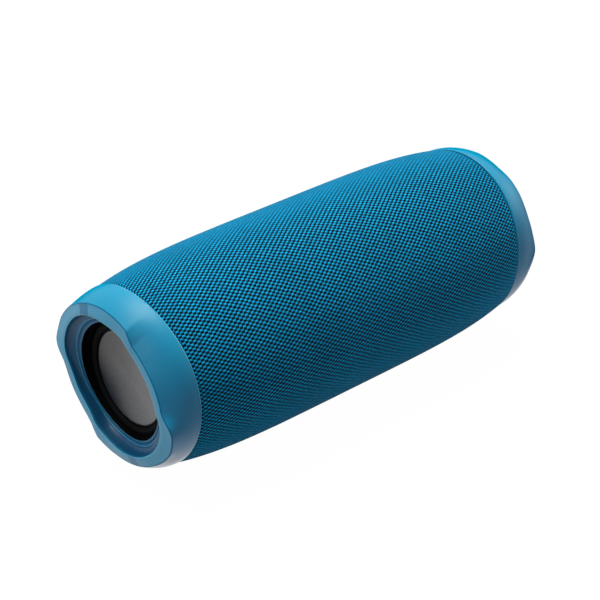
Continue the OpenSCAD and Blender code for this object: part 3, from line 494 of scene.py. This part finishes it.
def ring_section(degree, edge, soft, seam_zone):
    """Closed cross-section of a ring at a whole degree: radius, distance from the middle, and zone."""
    k = degree % 180
    out_r, in_r, out_x, in_x = edge[k], inner_edge[k], outer_edge_x[k], inner_edge_x[k]
    throat_r, throat_x = mouth_r[k], mouth_x[k]
    start = float(seam_at(math.radians(degree), ring_r))
    pts = [(skirt_out_r, start + 0.02, seam_zone), (ring_r - edge_r, start, seam_zone),
           (ring_r - 0.22, start + 0.04, seam_zone), (ring_r - 0.07, start + 0.17, seam_zone),
           (ring_r, start + edge_r, SKIN)]
    first, last = start + edge_r, out_x - edge_r
    for s in np.linspace(0, 1, 30)[1:]:
        x = first + (last - first) * s
        t = max(0.0, (x - skin_x) / (out_x - skin_x))
        sharp = t * t * (3 - 2 * t)
        rim = soft[k] * (1 - sharp) + out_r * sharp
        pts.append((ring_r - (ring_r - rim) * t ** skin_curve, x, SKIN))
    # The rounded rim edge takes a darker colour, as painted shade.
    pts[-1] = (*pts[-1][:2], RIM_EDGE_SHADE)
    side_r = pts[-1][0]
    for a in (25, 50, 75, 90):
        c = math.radians(a)
        r = side_r - edge_r * (1 - math.cos(c)) - edge_fall * math.sin(c)
        pts.append((r, last + edge_r * math.sin(c), RIM_EDGE_SHADE))
    pts[-1] = (*pts[-1][:2], FACE)
    flat_r = pts[-1][0]
    for s in (0.33, 0.67, 1.0):
        pts.append((flat_r + (in_r + inner_edge_r - flat_r) * s, out_x + (in_x - out_x) * s, FACE))
    # The inner rim edge takes a lighter colour, as painted highlight.
    pts[-1] = (*pts[-1][:2], EDGE_HIGHLIGHT)
    for a in (35, 65, 90):
        c = math.radians(a)
        pts.append((in_r + inner_edge_r * (1 - math.sin(c)), in_x - inner_edge_r * (1 - math.cos(c)), BOWL))
    floor_x = throat_x + floor_rise
    foot_r = throat_r + min(floor_w, floor_share * (in_r - throat_r))
    cove_x = in_x - inner_edge_r
    for a in np.linspace(10, 90, 9):
        c = math.radians(a)
        zone = COVE if a < cove_end else BOWL
        pts.append((foot_r + (in_r - foot_r) * math.cos(c), cove_x - (cove_x - floor_x) * math.sin(c), zone))
    for along, lift in bowl_steps:
        zone = BEAD if along > bead_from else BOWL
        pts.append((throat_r + (foot_r - throat_r) * along, throat_x + lift, zone))
    pts[-1] = (*pts[-1][:2], THROAT)
    pts += [(throat_r, throat_x - 0.25, THROAT), (throat_r, throat_x - 0.5, THROAT),
            (collar_in_r, throat_x - 0.6, THROAT), (collar_in_r, surround_x + 0.1, BOWL),
            (collar_out_r, surround_x + 0.1, BOWL), (collar_out_r, throat_x - 1.7, BOWL),
            (collar_out_r + 2, throat_x - 1.3, BOWL), (collar_out_r + 4, throat_x - 0.6, BOWL),
            (skirt_in_r - 2.2, throat_x - 0.6, BOWL), (skirt_in_r, throat_x - 3.0, BOWL),
            (skirt_in_r, start + 0.3, BOWL)]
    # Over a facet stretch the face takes a darker colour, as painted shade.
    if any(low <= degree < high for low, high in shaded_facets):
        pts = [(r, x, FACET_SHADE if zone == FACE else zone) for r, x, zone in pts]
    return pts


def around_axis(sections, side, turns_deg):
    """Places cross-sections round the speaker's axis; those of the right end are turned half round."""
    rows = []
    for turn_deg, section in zip(turns_deg, sections):
        c, s = -side * math.cos(math.radians(turn_deg)), math.sin(math.radians(turn_deg))
        rows.append([(side * p[1], p[0] * c, axis_z / MM + p[0] * s) for p in section])
    return np.array(rows)


broad_grain = 38.0
grain, gin, gout = shader_group("moulded_grain", [
    ("Colour", COLOUR, (0.05, 0.05, 0.05, 1)), ("Worn colour", COLOUR, (0.06, 0.06, 0.06, 1)),
    ("Grain size", VALUE, 3500.0), ("Relief", VALUE, 0.00001),
    ("Smoothest", VALUE, 0.35), ("Roughest", VALUE, 0.5)])
coords = grain.nodes.new("ShaderNodeTexCoord")
fine = noise_value(grain, coords.outputs["Object"], gin.outputs["Grain size"], 3.0)
broad = noise_value(grain, coords.outputs["Object"], broad_grain, 2.0)
worn_tone = blend_colour(grain, ramp_value(grain, broad, 0.38, 0.72), gin.outputs["Colour"],
                         gin.outputs["Worn colour"])
grain.links.new(worn_tone, gout.inputs["Colour"])
mixed = math_node(grain, "ADD", math_node(grain, "MULTIPLY", fine, 0.6),
                  math_node(grain, "MULTIPLY", broad, 0.4))
grain.links.new(ramp_value(grain, mixed, 0.35, 0.65, gin.outputs["Smoothest"], gin.outputs["Roughest"]),
                gout.inputs["Roughness"])
grain.links.new(bump_normal(grain, fine, gin.outputs["Relief"]), gout.inputs["Normal"])


def moulded(name, colour, worn, size=3500.0, relief=0.00001, smooth=0.35, rough=0.5, **constants):
    mat, tree, shader = blank_material(name, **constants)
    use_group(tree, grain, shader, Colour=(*colour, 1), Worn_colour=(*worn, 1), Grain_size=size,
              Relief=relief, Smoothest=smooth, Roughest=rough)
    return mat


def satin_with_painted_shade(mat, painted_shade_colour, top_gloss, under_gloss):
    """A skin with painted shade, deeper in colour where it faces away from straight up; its gloss fades
    towards grazing view, and it is glossier on its underside.
    """
    tree = mat.node_tree
    bsdf = tree.nodes["Principled BSDF"]
    weight = tree.nodes.new("ShaderNodeLayerWeight")
    weight.inputs["Blend"].default_value = 0.5
    level = ramp_value(tree, weight.outputs["Facing"], 0.5, 0.76, top_gloss, 0.0)
    tree.links.new(level, bsdf.inputs["Specular IOR Level"])
    place = tree.nodes.new("ShaderNodeTexCoord")
    facing = tree.nodes.new("ShaderNodeSeparateXYZ")
    tree.links.new(place.outputs["Normal"], facing.inputs[0])
    top_colour = bsdf.inputs["Base Color"].links[0].from_socket
    # Painted shade: as the surface turns away from straight up, the base colour turns to the darker shade
    # colour.
    shade_toned = blend_colour(tree, ramp_value(tree, facing.outputs[2], 0.1, 0.9), (*painted_shade_colour, 1), top_colour)
    tree.links.new(shade_toned, bsdf.inputs["Base Color"])
    underside = ramp_value(tree, facing.outputs[2], -0.6, 0.0, under_gloss, 0.0)
    tree.links.new(underside, bsdf.inputs["Coat Weight"])
    bsdf.inputs["Coat Roughness"].default_value = 0.14
    bsdf.inputs["Coat Tint"].default_value = (0.62, 0.85, 1.0, 1)
    return mat


ring_grain, skin_relief, ring_relief, edge_relief = 5200.0, 0.000006, 0.000008, 0.000004
rubber_black, rubber_worn = (0.0015, 0.0015, 0.0018), (0.003, 0.003, 0.0035)
rubber_grain, rubber_relief = 2600.0, 0.000012
ring_skin = moulded("ring_skin_satin", (0.0005, 0.245, 0.42), (0.001, 0.255, 0.435), ring_grain,
                    skin_relief, 0.42, 0.48)
ring_mats = [
    # skin: painted shade darkens it to this low colour where it faces away from straight up
    satin_with_painted_shade(ring_skin, (0.0003, 0.15, 0.30), 0.36, 1.0),
    # painted highlight for the seam edge and the inner rim edge
    moulded("ring_seam_edge", (0.07, 0.55, 0.75), (0.08, 0.57, 0.77), ring_grain, edge_relief, 0.3, 0.35,
            Specular_IOR_Level=0.5),
    # painted shade for the rounded rim edge
    moulded("ring_rim_edge", (0.001, 0.14, 0.28), (0.002, 0.15, 0.29), ring_grain, edge_relief, 0.3, 0.36,
            Specular_IOR_Level=0.1),
    # painted light: a lighter, greyer copy of the blue for the face
    moulded("ring_face_satin", (0.04, 0.285, 0.47), (0.045, 0.295, 0.48), ring_grain, ring_relief, 0.34, 0.42,
            Specular_IOR_Level=0.4),
    # painted shade for the bowl
    moulded("ring_bowl_gloss", (0.003, 0.11, 0.23), (0.004, 0.12, 0.24), ring_grain, edge_relief, 0.34, 0.4,
            Specular_IOR_Level=0.3),
    # painted shade for the facet stretches of the face
    moulded("ring_facet_satin", (0.015, 0.17, 0.31), (0.02, 0.18, 0.32), ring_grain, ring_relief, 0.34, 0.42,
            Specular_IOR_Level=0.3),
    moulded("throat_black", rubber_black, rubber_worn, rubber_grain, rubber_relief, 0.45, 0.6,
            Specular_IOR_Level=0.03),
    # painted shade, the darkest, for the cove
    moulded("ring_cove_gloss", (0.001, 0.06, 0.14), (0.002, 0.065, 0.15), ring_grain, edge_relief, 0.34, 0.4,
            Specular_IOR_Level=0.3),
    # painted shade for the bead, lighter than the bowl's so that it reads as a light band
    moulded("ring_bead_gloss", (0.02, 0.18, 0.32), (0.025, 0.19, 0.33), ring_grain, edge_relief, 0.34, 0.4,
            Specular_IOR_Level=0.4),
]
# The left ring's seam edge takes the painted highlight colour; the right ring's seam edge stays skin.
for side, end, edge, soft, seam_zone in ((-1, "left", outer_edge, outer_soft, EDGE_HIGHLIGHT),
                                         (1, "right", right_edge, right_soft, SKIN)):
    sections = [ring_section(t, edge, soft, seam_zone) for t in range(360)]
    mesh = grid_mesh(f"{end}_ring", around_axis(sections, side, range(360)), close_v=True)
    mesh.polygons.foreach_set("material_index", [p[2] for section in sections for p in section])
    tidy_mesh(mesh, angle=60)
    ring = piece(f"{end}_ring", mesh, *ring_mats)
    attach(ring, "chassis")
    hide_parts(f"{end}_end_ring")

# ---- radiator surrounds ----
# A black rubber roll with fine moulded rings joins each disc to its frame. Its outer lip turns up into a
# thin black liner that hides the throat of the opening.

disc_r, disc_x, rubber_t = 20.6, 97.1, 0.6
roll_in_r, roll_out_r, roll_flat, roll_ripple = 21.3, 24.6, 0.95, 0.07
liner_in_r, liner_out_r, liner_end_x, lathe_steps = 25.25, 25.42, lip_x - 2.2, 160


def lathe(name, section, side):
    """A closed section turned round the speaker's axis."""
    turns_deg = np.linspace(0, 360, lathe_steps, endpoint=False)
    mesh = grid_mesh(name, around_axis([section] * lathe_steps, side, turns_deg), close_v=True)
    tidy_mesh(mesh, angle=40)
    return mesh


rubber_mat = moulded("black_roll_rubber", rubber_black, rubber_worn, rubber_grain, rubber_relief, 0.5, 0.62,
                     Specular_IOR_Level=0.04)
roll_mid, roll_r = (roll_in_r + roll_out_r) / 2, (roll_out_r - roll_in_r) / 2
roll_top, roll_under = [], []
for a in np.linspace(180, 0, 25):
    c = math.radians(a)
    r = roll_r + roll_ripple * math.cos(c * 12)
    roll_top.append((roll_mid + r * math.cos(c), surround_x + r * math.sin(c) * roll_flat))
for a in (0, 30, 60, 90, 120, 150, 180):
    c, r = math.radians(a), roll_r - rubber_t
    roll_under.append((roll_mid + r * math.cos(c), surround_x - 0.02 + r * math.sin(c) * roll_flat))
surround_section = [
    (disc_r - 0.1, surround_x - rubber_t), (disc_r - 0.1, surround_x - 0.05), (disc_r + 0.3, surround_x)]
surround_section += roll_top
surround_section += [
    (liner_in_r - 0.05, surround_x + 0.05), (liner_in_r, liner_end_x), (liner_out_r, liner_end_x + 0.03),
    (liner_out_r, surround_x), (collar_out_r, surround_x), (collar_out_r, surround_x - rubber_t)]
surround_section += roll_under
for side, end in ((-1, "left"), (1, "right")):
    surround = piece(f"{end}_roll", lathe(f"{end}_roll", surround_section, side), rubber_mat)
    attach(surround, "chassis")
    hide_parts(f"{end}_radiator_surround")

# ---- radiator discs ----
# Each disc is turned from aluminium and anodised dark grey. Its face is bare, slightly hollow and marked
# with fine concentric tool rings, and its bevelled edge is brighter. Its colour also darkens towards the
# speaker's back, as painted shade.

wobble_grain, wobble_size, streak_grain, bevel_w = 120.0, 0.0005, 900.0, 0.0004
turned, tin, tout = shader_group("turned_rings", [
    ("Colour", COLOUR, (0.14, 0.14, 0.143, 1)), ("Ring colour", COLOUR, (0.21, 0.21, 0.213, 1)),
    ("Edge colour", COLOUR, (0.2, 0.2, 0.203, 1)), ("Shaded side", COLOUR, (0.2, 0.2, 0.2, 1)),
    ("Pitch", VALUE, 0.0009), ("Axis height", VALUE, axis_z), ("Edge radius", VALUE, 0.0201),
    ("Relief", VALUE, 0.00002)])
coords = turned.nodes.new("ShaderNodeTexCoord")
split = turned.nodes.new("ShaderNodeSeparateXYZ")
turned.links.new(coords.outputs["Object"], split.inputs[0])
up = math_node(turned, "SUBTRACT", split.outputs[2], tin.outputs["Axis height"])
squares = [math_node(turned, "MULTIPLY", way, way) for way in (up, split.outputs[1])]
radius = math_node(turned, "SQRT", math_node(turned, "ADD", *squares))
wobble = noise_value(turned, coords.outputs["Object"], wobble_grain, 2.0)
wobble = math_node(turned, "MULTIPLY", wobble, wobble_size)
ringed = math_node(turned, "DIVIDE", math_node(turned, "ADD", radius, wobble), tin.outputs["Pitch"])
ringed = math_node(turned, "SINE", math_node(turned, "MULTIPLY", ringed, full_turn))
ringed = math_node(turned, "MULTIPLY_ADD", ringed, 0.5, 0.5)
streak = noise_value(turned, coords.outputs["Object"], streak_grain, 2.0)
bevel_from = math_node(turned, "SUBTRACT", tin.outputs["Edge radius"], bevel_w)
bevel = ramp_value(turned, radius, bevel_from, tin.outputs["Edge radius"])
# Painted shade: the disc's colour is multiplied darker towards +Y, the speaker's back.
lean = math_node(turned, "DIVIDE", split.outputs[1], tin.outputs["Edge radius"])
shade = ramp_value(turned, lean, -0.9, 1.1, 0.0, 0.62)
face_tone = blend_colour(turned, math_node(turned, "MULTIPLY", ringed, 0.7), tin.outputs["Colour"],
                         tin.outputs["Ring colour"])
face_tone = blend_colour(turned, bevel, face_tone, tin.outputs["Edge colour"])
face_tone = blend_colour(turned, shade, face_tone, tin.outputs["Shaded side"], "MULTIPLY")
turned.links.new(face_tone, tout.inputs["Colour"])
turned.links.new(ramp_value(turned, streak, 0.3, 0.7, 0.34, 0.5), tout.inputs["Roughness"])
turned.links.new(bump_normal(turned, ringed, tin.outputs["Relief"]), tout.inputs["Normal"])

disc_mat, disc_tree, disc_shader = blank_material("turned_grey_aluminium", Metallic=0.85, Anisotropic=0.75)
use_group(disc_tree, turned, disc_shader, Axis_height=axis_z)
tool_marks = disc_tree.nodes.new("ShaderNodeTangent")
tool_marks.direction_type, tool_marks.axis = "RADIAL", "X"
disc_tree.links.new(tool_marks.outputs[0], disc_shader.inputs["Tangent"])
disc_face = [
    (0.0, 0.3), (6.0, 0.27), (12.0, 0.19), (17.5, 0.07), (19.6, 0), (20.1, 0), (20.35, 0.12), (disc_r, 0.35),
    (disc_r, 1.5), (0.0, 1.5)]
disc_section = [(r, disc_x - drop) for r, drop in disc_face]
for side, end in ((-1, "left"), (1, "right")):
    disc = piece(f"{end}_disc", lathe(f"{end}_disc", disc_section, side), disc_mat)
    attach(disc, f"{end}_radiator")
    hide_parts(f"{end}_radiator_disc")

# ---- control strip ----
# A dark blue moulding let into the back of the sleeve. It carries five push buttons in a row and, below
# them, the recess for the port cover.

strip_mat = moulded("dark_blue_soft_plastic", (0.006, 0.045, 0.085), (0.008, 0.055, 0.10), 4200.0, 0.00002,
                    0.5, 0.62, Specular_IOR_Level=0.35)


def smooth_copy(name):
    """A merged copy of a CAD node's mesh, smooth across its gentle edges."""
    mesh = frame["nodes"][name].data.copy()
    mesh.materials.clear()
    tidy_mesh(mesh, angle=32, merge=2e-6)
    return mesh


strip = piece("back_strip", smooth_copy("control_strip"), strip_mat)
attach(strip, "chassis")
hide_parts("control_strip")

# ---- buttons ----
# Five moulded caps with rounded edges, each with a pale symbol let into its domed crown: power, quieter,
# play, louder and link.

button_r, button_pitch, button_z, button_proud = 4.4, 22.0, 6.0, 0.9
button_flange_r, button_flange_y, button_flange_t = 5.2, 38.7, 0.5
crown_dome, crown_dip, inlay_low, inlay_high, cap_steps, arc_steps = 0.25, 0.02, -0.25, 0.05, 64, 24
button_top = float(np.sqrt((body_r + button_proud) ** 2 - button_z ** 2))
button_mat = moulded("dark_blue_caps", (0.010, 0.075, 0.13), (0.012, 0.085, 0.145), 4200.0, 0.00002,
                     0.42, 0.52, Specular_IOR_Level=0.4)
symbol_mat = moulded("pale_inlay", (0.42, 0.62, 0.70), (0.36, 0.56, 0.64), 3000.0, 0.000008, 0.4, 0.5)


def bar(x0, z0, x1, z1, width):
    """Outline of a straight stroke."""
    length = math.hypot(x1 - x0, z1 - z0)
    nx, nz = -(z1 - z0) / length * width / 2, (x1 - x0) / length * width / 2
    return [(x0 + nx, z0 + nz), (x0 - nx, z0 - nz), (x1 - nx, z1 - nz), (x1 + nx, z1 + nz)]


def arc_band(x0, z0, radius, width, start, stop):
    """Outline of a curved stroke."""
    turns = [math.radians(start + (stop - start) * i / arc_steps) for i in range(arc_steps + 1)]
    sides = ((radius + width / 2, turns), (radius - width / 2, turns[::-1]))
    return [(x0 + r * math.cos(a), z0 + r * math.sin(a)) for r, order in sides for a in order]


line_w = 0.5
symbols = {
    "power": [arc_band(0, -0.15, 1.55, line_w, 125, 415), bar(0, 0.35, 0, 1.95, line_w)],
    "volume_down": [bar(-1.7, 0, 1.7, 0, line_w)],
    "play": [[(-1.1, -1.6), (1.8, 0), (-1.1, 1.6)]],
    "volume_up": [bar(-1.7, 0, 1.7, 0, line_w), bar(0, 0.3, 0, 1.7, line_w), bar(0, -1.7, 0, -0.3, line_w)],
    "link": [arc_band(-0.95, 0, 0.95, line_w, 40, 320), arc_band(0.95, 0, 0.95, line_w, -140, 140),
             bar(-0.75, 0, 0.75, 0, line_w)],
}


def crown_y(x, z):
    """How far behind the speaker's axis a cap's slightly domed crown lies."""
    return button_top - crown_dome * (x * x + z * z) / button_r ** 2 - crown_dip


def cap_mesh(name, x_mid):
    """A cap with a rounded edge, a straight side and a flange underneath, closed in the middle."""
    z_mid, flange_top = axis_z / MM + button_z, button_flange_y + button_flange_t
    crown = [(0.0, 0), (1.4, 0), (2.8, 0), (3.6, 0), (3.95, -0.06), (4.2, -0.2), (4.34, -0.42),
             (button_r, -0.75)]
    below = [(button_r, flange_top), (button_flange_r, flange_top), (button_flange_r, button_flange_y),
             (0.0, button_flange_y)]
    points = []
    for k in range(cap_steps):
        c, s = math.cos(full_turn * k / cap_steps), math.sin(full_turn * k / cap_steps)
        points.append([(x_mid + r * c, crown_y(r * c, r * s) + drop, z_mid + r * s) for r, drop in crown]
                      + [(x_mid + r * c, y, z_mid + r * s) for r, y in below])
    mesh = grid_mesh(name, np.array(points))
    tidy_mesh(mesh, angle=40)
    return mesh


def inlay_mesh(name, outlines, x_mid):
    """Thin symbol plates that just clear a cap's crown; seen from behind, X runs to the left."""
    work = bmesh.new()
    for outline in outlines:
        layers = []
        for lift in (inlay_low, inlay_high):
            places = [(x_mid - x, crown_y(x, z) + lift, button_z + z) for x, z in outline]
            layers.append([work.verts.new((x * MM, y * MM, axis_z + z * MM)) for x, y, z in places])
        low, high = layers
        work.faces.new(low)
        work.faces.new(high[::-1])
        for i in range(len(outline)):
            j = (i + 1) % len(outline)
            work.faces.new((low[i], high[i], high[j], low[j]))
    bmesh.ops.recalc_face_normals(work, faces=work.faces)
    bmesh.ops.triangulate(work, faces=work.faces)
    mesh = bpy.data.meshes.new(name)
    work.to_mesh(mesh)
    work.free()
    return mesh


for place, (label, outlines) in zip((-2, -1, 0, 1, 2), symbols.items()):
    cap_x = place * button_pitch
    cap = piece(f"{label}_cap", cap_mesh(f"{label}_cap", cap_x), button_mat)
    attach(cap, f"{label}_key")
    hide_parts(f"{label}_button")
    inlay = piece(f"{label}_symbol", inlay_mesh(f"{label}_symbol", outlines, cap_x), symbol_mat)
    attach(inlay, f"{label}_key")

# ---- port cover ----
# A soft flap over the charging port and the jack, on a thin steel pin along its lower edge. Closed, it
# lies in its recess in the strip.

cover_mat = moulded("soft_flap", (0.008, 0.055, 0.10), (0.010, 0.065, 0.115), 3000.0, 0.00003, 0.55, 0.7,
                    Specular_IOR_Level=0.3)
cover = piece("port_flap_skin", smooth_copy("port_cover"), cover_mat)
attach(cover, "port_flap")
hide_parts("port_cover")

# ---- feet ----
# Two rubber feet under the body keep it from rolling. Their stems pass through windows in the sleeve, and
# each sole has ten thin ribs that run from front to back.

foot_mat = moulded("foot_rubber_black", (0.012, 0.013, 0.015), (0.02, 0.021, 0.024), 2200.0, 0.00004,
                   0.6, 0.8, Specular_IOR_Level=0.3)
foot_shrink, sole_z, sole_tolerance = 0.889, 0.55, 0.1
rib_l, rib_r, rib_pitch, rib_sides, ribs_per_foot = 21.0, 0.5, 2.9, 14, 10

ribbing = bpy.data.node_groups.new("ribbed_sole", "GeometryNodeTree")
ribbing.interface.new_socket("Geometry", in_out="INPUT", socket_type="NodeSocketGeometry")
rib_inputs = {}
for label, kind, value in (
        ("Rib length", VALUE, rib_l * MM), ("Rib radius", VALUE, rib_r * MM),
        ("Rib pitch", VALUE, rib_pitch * MM), ("Foot place", VALUE, foot_x * MM),
        ("Ribs per foot", "NodeSocketInt", ribs_per_foot), ("Rubber", "NodeSocketMaterial", foot_mat)):
    rib_inputs[ribbing.interface.new_socket(label, in_out="INPUT", socket_type=kind).identifier] = value
ribbing.interface.new_socket("Geometry", in_out="OUTPUT", socket_type="NodeSocketGeometry")


def rib_node(kind, links=(), **settings):
    """A node in the ribbing tree, with its settings and what feeds each of its inputs."""
    node = ribbing.nodes.new(kind)
    for label, value in settings.items():
        setattr(node, label, value)
    for label, value in links:
        if isinstance(value, bpy.types.NodeSocket):
            ribbing.links.new(value, node.inputs[label])
        else:
            node.inputs[label].default_value = value
    return node


def product(a, b):
    return rib_node("ShaderNodeMath", ((0, a), (1, b)), operation="MULTIPLY").outputs[0]


def xyz(**axes):
    return rib_node("ShaderNodeCombineXYZ", tuple(axes.items())).outputs[0]


def row_of(count, pitch, first, instance):
    """Copies of an instance in a row along X."""
    row = rib_node("GeometryNodeMeshLine", (
        ("Count", count), ("Start Location", xyz(X=first)), ("Offset", xyz(X=pitch))))
    copies = rib_node("GeometryNodeInstanceOnPoints", (("Points", row.outputs[0]), ("Instance", instance)))
    return copies.outputs[0]


given = rib_node("NodeGroupInput").outputs
rib_z = given["Rib radius"]
line = rib_node("GeometryNodeCurvePrimitiveLine", (
    ("Start", xyz(Y=product(given["Rib length"], -0.5), Z=rib_z)),
    ("End", xyz(Y=product(given["Rib length"], 0.5), Z=rib_z))))
profile = rib_node("GeometryNodeCurvePrimitiveCircle", (("Resolution", rib_sides), ("Radius", rib_z)))
rib = rib_node("GeometryNodeCurveToMesh", (
    ("Curve", line.outputs[0]), ("Profile Curve", profile.outputs[0]), ("Fill Caps", True)))
gaps = rib_node("ShaderNodeMath", ((0, given["Ribs per foot"]), (1, 1.0)), operation="SUBTRACT").outputs[0]
span = product(gaps, given["Rib pitch"])
one_foot = row_of(given["Ribs per foot"], given["Rib pitch"], product(span, -0.5), rib.outputs[0])
both = row_of(2, product(given["Foot place"], 2.0), product(given["Foot place"], -1.0), one_foot)
soles = rib_node("GeometryNodeRealizeInstances", (("Geometry", both),))
joined = rib_node("GeometryNodeJoinGeometry", (("Geometry", given["Geometry"]),))
ribbing.links.new(soles.outputs[0], joined.inputs[0])
coated = rib_node("GeometryNodeSetMaterial", (("Geometry", joined.outputs[0]), ("Material", given["Rubber"])))
rib_node("NodeGroupOutput", (("Geometry", coated.outputs[0]),))

feet_mesh = smooth_copy("rubber_feet")
for v in feet_mesh.vertices:
    v.co.y *= foot_shrink
    if v.co.z < sole_tolerance * MM:
        v.co.z = sole_z * MM
feet = piece("ribbed_feet", feet_mesh, foot_mat)
ribs = feet.modifiers.new("ribs", "NODES")
ribs.node_group = ribbing
for identifier, value in rib_inputs.items():
    ribs[identifier] = value
apply_all(feet)
tidy_mesh(feet.data, angle=40)
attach(feet, "chassis")
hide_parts("rubber_feet")

# ---- inside ----
# The sealed body holds the drivers, their frames, the cell, the boards, the leads and the screws. They
# keep their solid shapes, and each gets the finish of its real counterpart.

stain_grain, dust_grain, dust_share = 160.0, 1500.0, 0.2
metal, metal_in, metal_out = shader_group("plated_metal", [
    ("Colour", COLOUR, (0.5, 0.5, 0.5, 1)), ("Stain colour", COLOUR, (0.4, 0.4, 0.38, 1)),
    ("Streak size", VALUE, 900.0), ("Relief", VALUE, 0.000006)])
coords = metal.nodes.new("ShaderNodeTexCoord")
stretch = metal.nodes.new("ShaderNodeMapping")
stretch.inputs["Scale"].default_value = (1, 1, 0.12)
metal.links.new(coords.outputs["Object"], stretch.inputs["Vector"])
scratch = noise_value(metal, stretch.outputs[0], metal_in.outputs["Streak size"], 4.0)
stain = noise_value(metal, coords.outputs["Object"], stain_grain, 3.0)
stained = blend_colour(metal, ramp_value(metal, stain, 0.45, 0.7), metal_in.outputs["Colour"],
                       metal_in.outputs["Stain colour"])
metal.links.new(stained, metal_out.inputs["Colour"])
metal.links.new(ramp_value(metal, scratch, 0.3, 0.7, 0.22, 0.42), metal_out.inputs["Roughness"])
metal.links.new(bump_normal(metal, scratch, metal_in.outputs["Relief"]), metal_out.inputs["Normal"])


def plated(name, colour, stain_colour, streak=900.0):
    mat, tree, shader = blank_material(name, Metallic=1.0)
    use_group(tree, metal, shader, Colour=(*colour, 1), Stain_colour=(*stain_colour, 1), Streak_size=streak)
    return mat


lines, lin, lout = shader_group("fine_lines", [
    ("Colour", COLOUR, (0.1, 0.1, 0.1, 1)), ("Line colour", COLOUR, (0.2, 0.2, 0.2, 1)),
    ("Direction", VECTOR, (1, 0, 0)), ("Pitch", VALUE, 0.0004), ("Relief", VALUE, 0.00004),
    ("Rough", VALUE, 0.5)])
coords = lines.nodes.new("ShaderNodeTexCoord")
reach = lines.nodes.new("ShaderNodeVectorMath")
reach.operation = "DOT_PRODUCT"
lines.links.new(coords.outputs["Object"], reach.inputs[0])
lines.links.new(lin.outputs["Direction"], reach.inputs[1])
lined = math_node(lines, "DIVIDE", reach.outputs["Value"], lin.outputs["Pitch"])
lined = math_node(lines, "SINE", math_node(lines, "MULTIPLY", lined, full_turn))
lined = math_node(lines, "MULTIPLY_ADD", lined, 0.5, 0.5)
dust = noise_value(lines, coords.outputs["Object"], dust_grain, 3.0)
line_tone = blend_colour(lines, ramp_value(lines, lined, 0.35, 0.65), lin.outputs["Colour"],
                         lin.outputs["Line colour"])
lines.links.new(line_tone, lout.inputs["Colour"])
dusty = math_node(lines, "MULTIPLY", math_node(lines, "SUBTRACT", dust, 0.5), dust_share)
lines.links.new(math_node(lines, "ADD", lin.outputs["Rough"], dusty), lout.inputs["Roughness"])
lines.links.new(bump_normal(lines, lined, lin.outputs["Relief"]), lout.inputs["Normal"])


def lined_finish(name, colour, line_colour, direction, pitch, relief=0.00004, rough=0.5, **constants):
    mat, tree, shader = blank_material(name, **constants)
    use_group(tree, lines, shader, Colour=(*colour, 1), Line_colour=(*line_colour, 1), Direction=direction,
              Pitch=pitch, Relief=relief, Rough=rough)
    return mat


inside = {
    "shell_plastic": moulded("shell_black", (0.022, 0.022, 0.025), (0.03, 0.03, 0.034), 2600.0, 0.00002),
    "housing_plastic": moulded(
        "housing_black", (0.028, 0.028, 0.032), (0.036, 0.036, 0.042), 2000.0, 0.00003, 0.4, 0.6),
    "screw_steel": plated("zinc_screws", (0.55, 0.55, 0.52), (0.42, 0.42, 0.36)),
    "foam": moulded("gasket_foam", (0.03, 0.03, 0.032), (0.05, 0.05, 0.052), 1400.0, 0.00015, 0.8, 0.95),
    "frame_plastic": moulded(
        "frame_black", (0.014, 0.014, 0.015), (0.02, 0.02, 0.022), 2400.0, 0.00003, 0.4, 0.55),
    "surround_rubber": rubber_mat,
    "plated_steel": plated("plated_steel_grey", (0.58, 0.58, 0.56), (0.45, 0.44, 0.40), 600.0),
    "cell_wrap": moulded(
        "cell_shrink_wrap", (0.03, 0.30, 0.22), (0.025, 0.26, 0.19), 300.0, 0.00002, 0.12, 0.22),
    "tray_plastic": moulded("cradle_grey", (0.05, 0.05, 0.055), (0.065, 0.065, 0.07), 2200.0, 0.00003),
    "lead_wire": lined_finish("red_lead", (0.42, 0.012, 0.01), (0.5, 0.02, 0.015), (0.7, 0.1, 0.7), 0.0011),
    "circuit_board": lined_finish(
        "green_board", (0.006, 0.09, 0.045), (0.012, 0.16, 0.085), (0.6, 0.0, 0.8), 0.0021, 0.00003, 0.3),
    "chip_black": moulded(
        "chip_resin", (0.016, 0.016, 0.018), (0.024, 0.024, 0.026), 5000.0, 0.00001, 0.5, 0.65),
    "shield_can": plated("tinned_can", (0.62, 0.61, 0.58), (0.5, 0.49, 0.44), 400.0),
    "speaker_wire": lined_finish(
        "black_wire", (0.02, 0.02, 0.02), (0.035, 0.035, 0.035), (0.7, 0.1, 0.7), 0.0011),
    "switch_plastic": moulded("switch_body", (0.05, 0.05, 0.05), (0.07, 0.07, 0.07), 3000.0, 0.00001),
    "port_metal": plated("drawn_port", (0.6, 0.6, 0.6), (0.5, 0.5, 0.48)),
    "jack_plastic": moulded("jack_black", (0.015, 0.015, 0.016), (0.02, 0.02, 0.022), 3000.0, 0.00001),
    "ferrite": moulded(
        "sintered_ferrite", (0.045, 0.045, 0.048), (0.07, 0.07, 0.072), 900.0, 0.00006, 0.5, 0.75),
    "coil_copper": lined_finish(
        "wound_copper", (0.62, 0.26, 0.09), (0.3, 0.11, 0.035), (0, 1, 0), 0.0003, 0.00008, 0.35,
        Metallic=1.0),
    "spider_cloth": lined_finish(
        "treated_cloth", (0.42, 0.27, 0.08), (0.30, 0.19, 0.05), (0.7, 0, 0.7), 0.0007, 0.0001, 0.75),
    "cone_paper": moulded(
        "pressed_paper", (0.03, 0.03, 0.032), (0.045, 0.045, 0.047), 1100.0, 0.00009, 0.75, 0.9),
}
slots = {row["node"]: row["material_slot"] for row in frame["record"]["subparts"]}
for name, obj in frame["nodes"].items():
    if obj.hide_render:
        continue
    obj.data.materials.clear()
    obj.data.materials.append(inside[slots[name]])
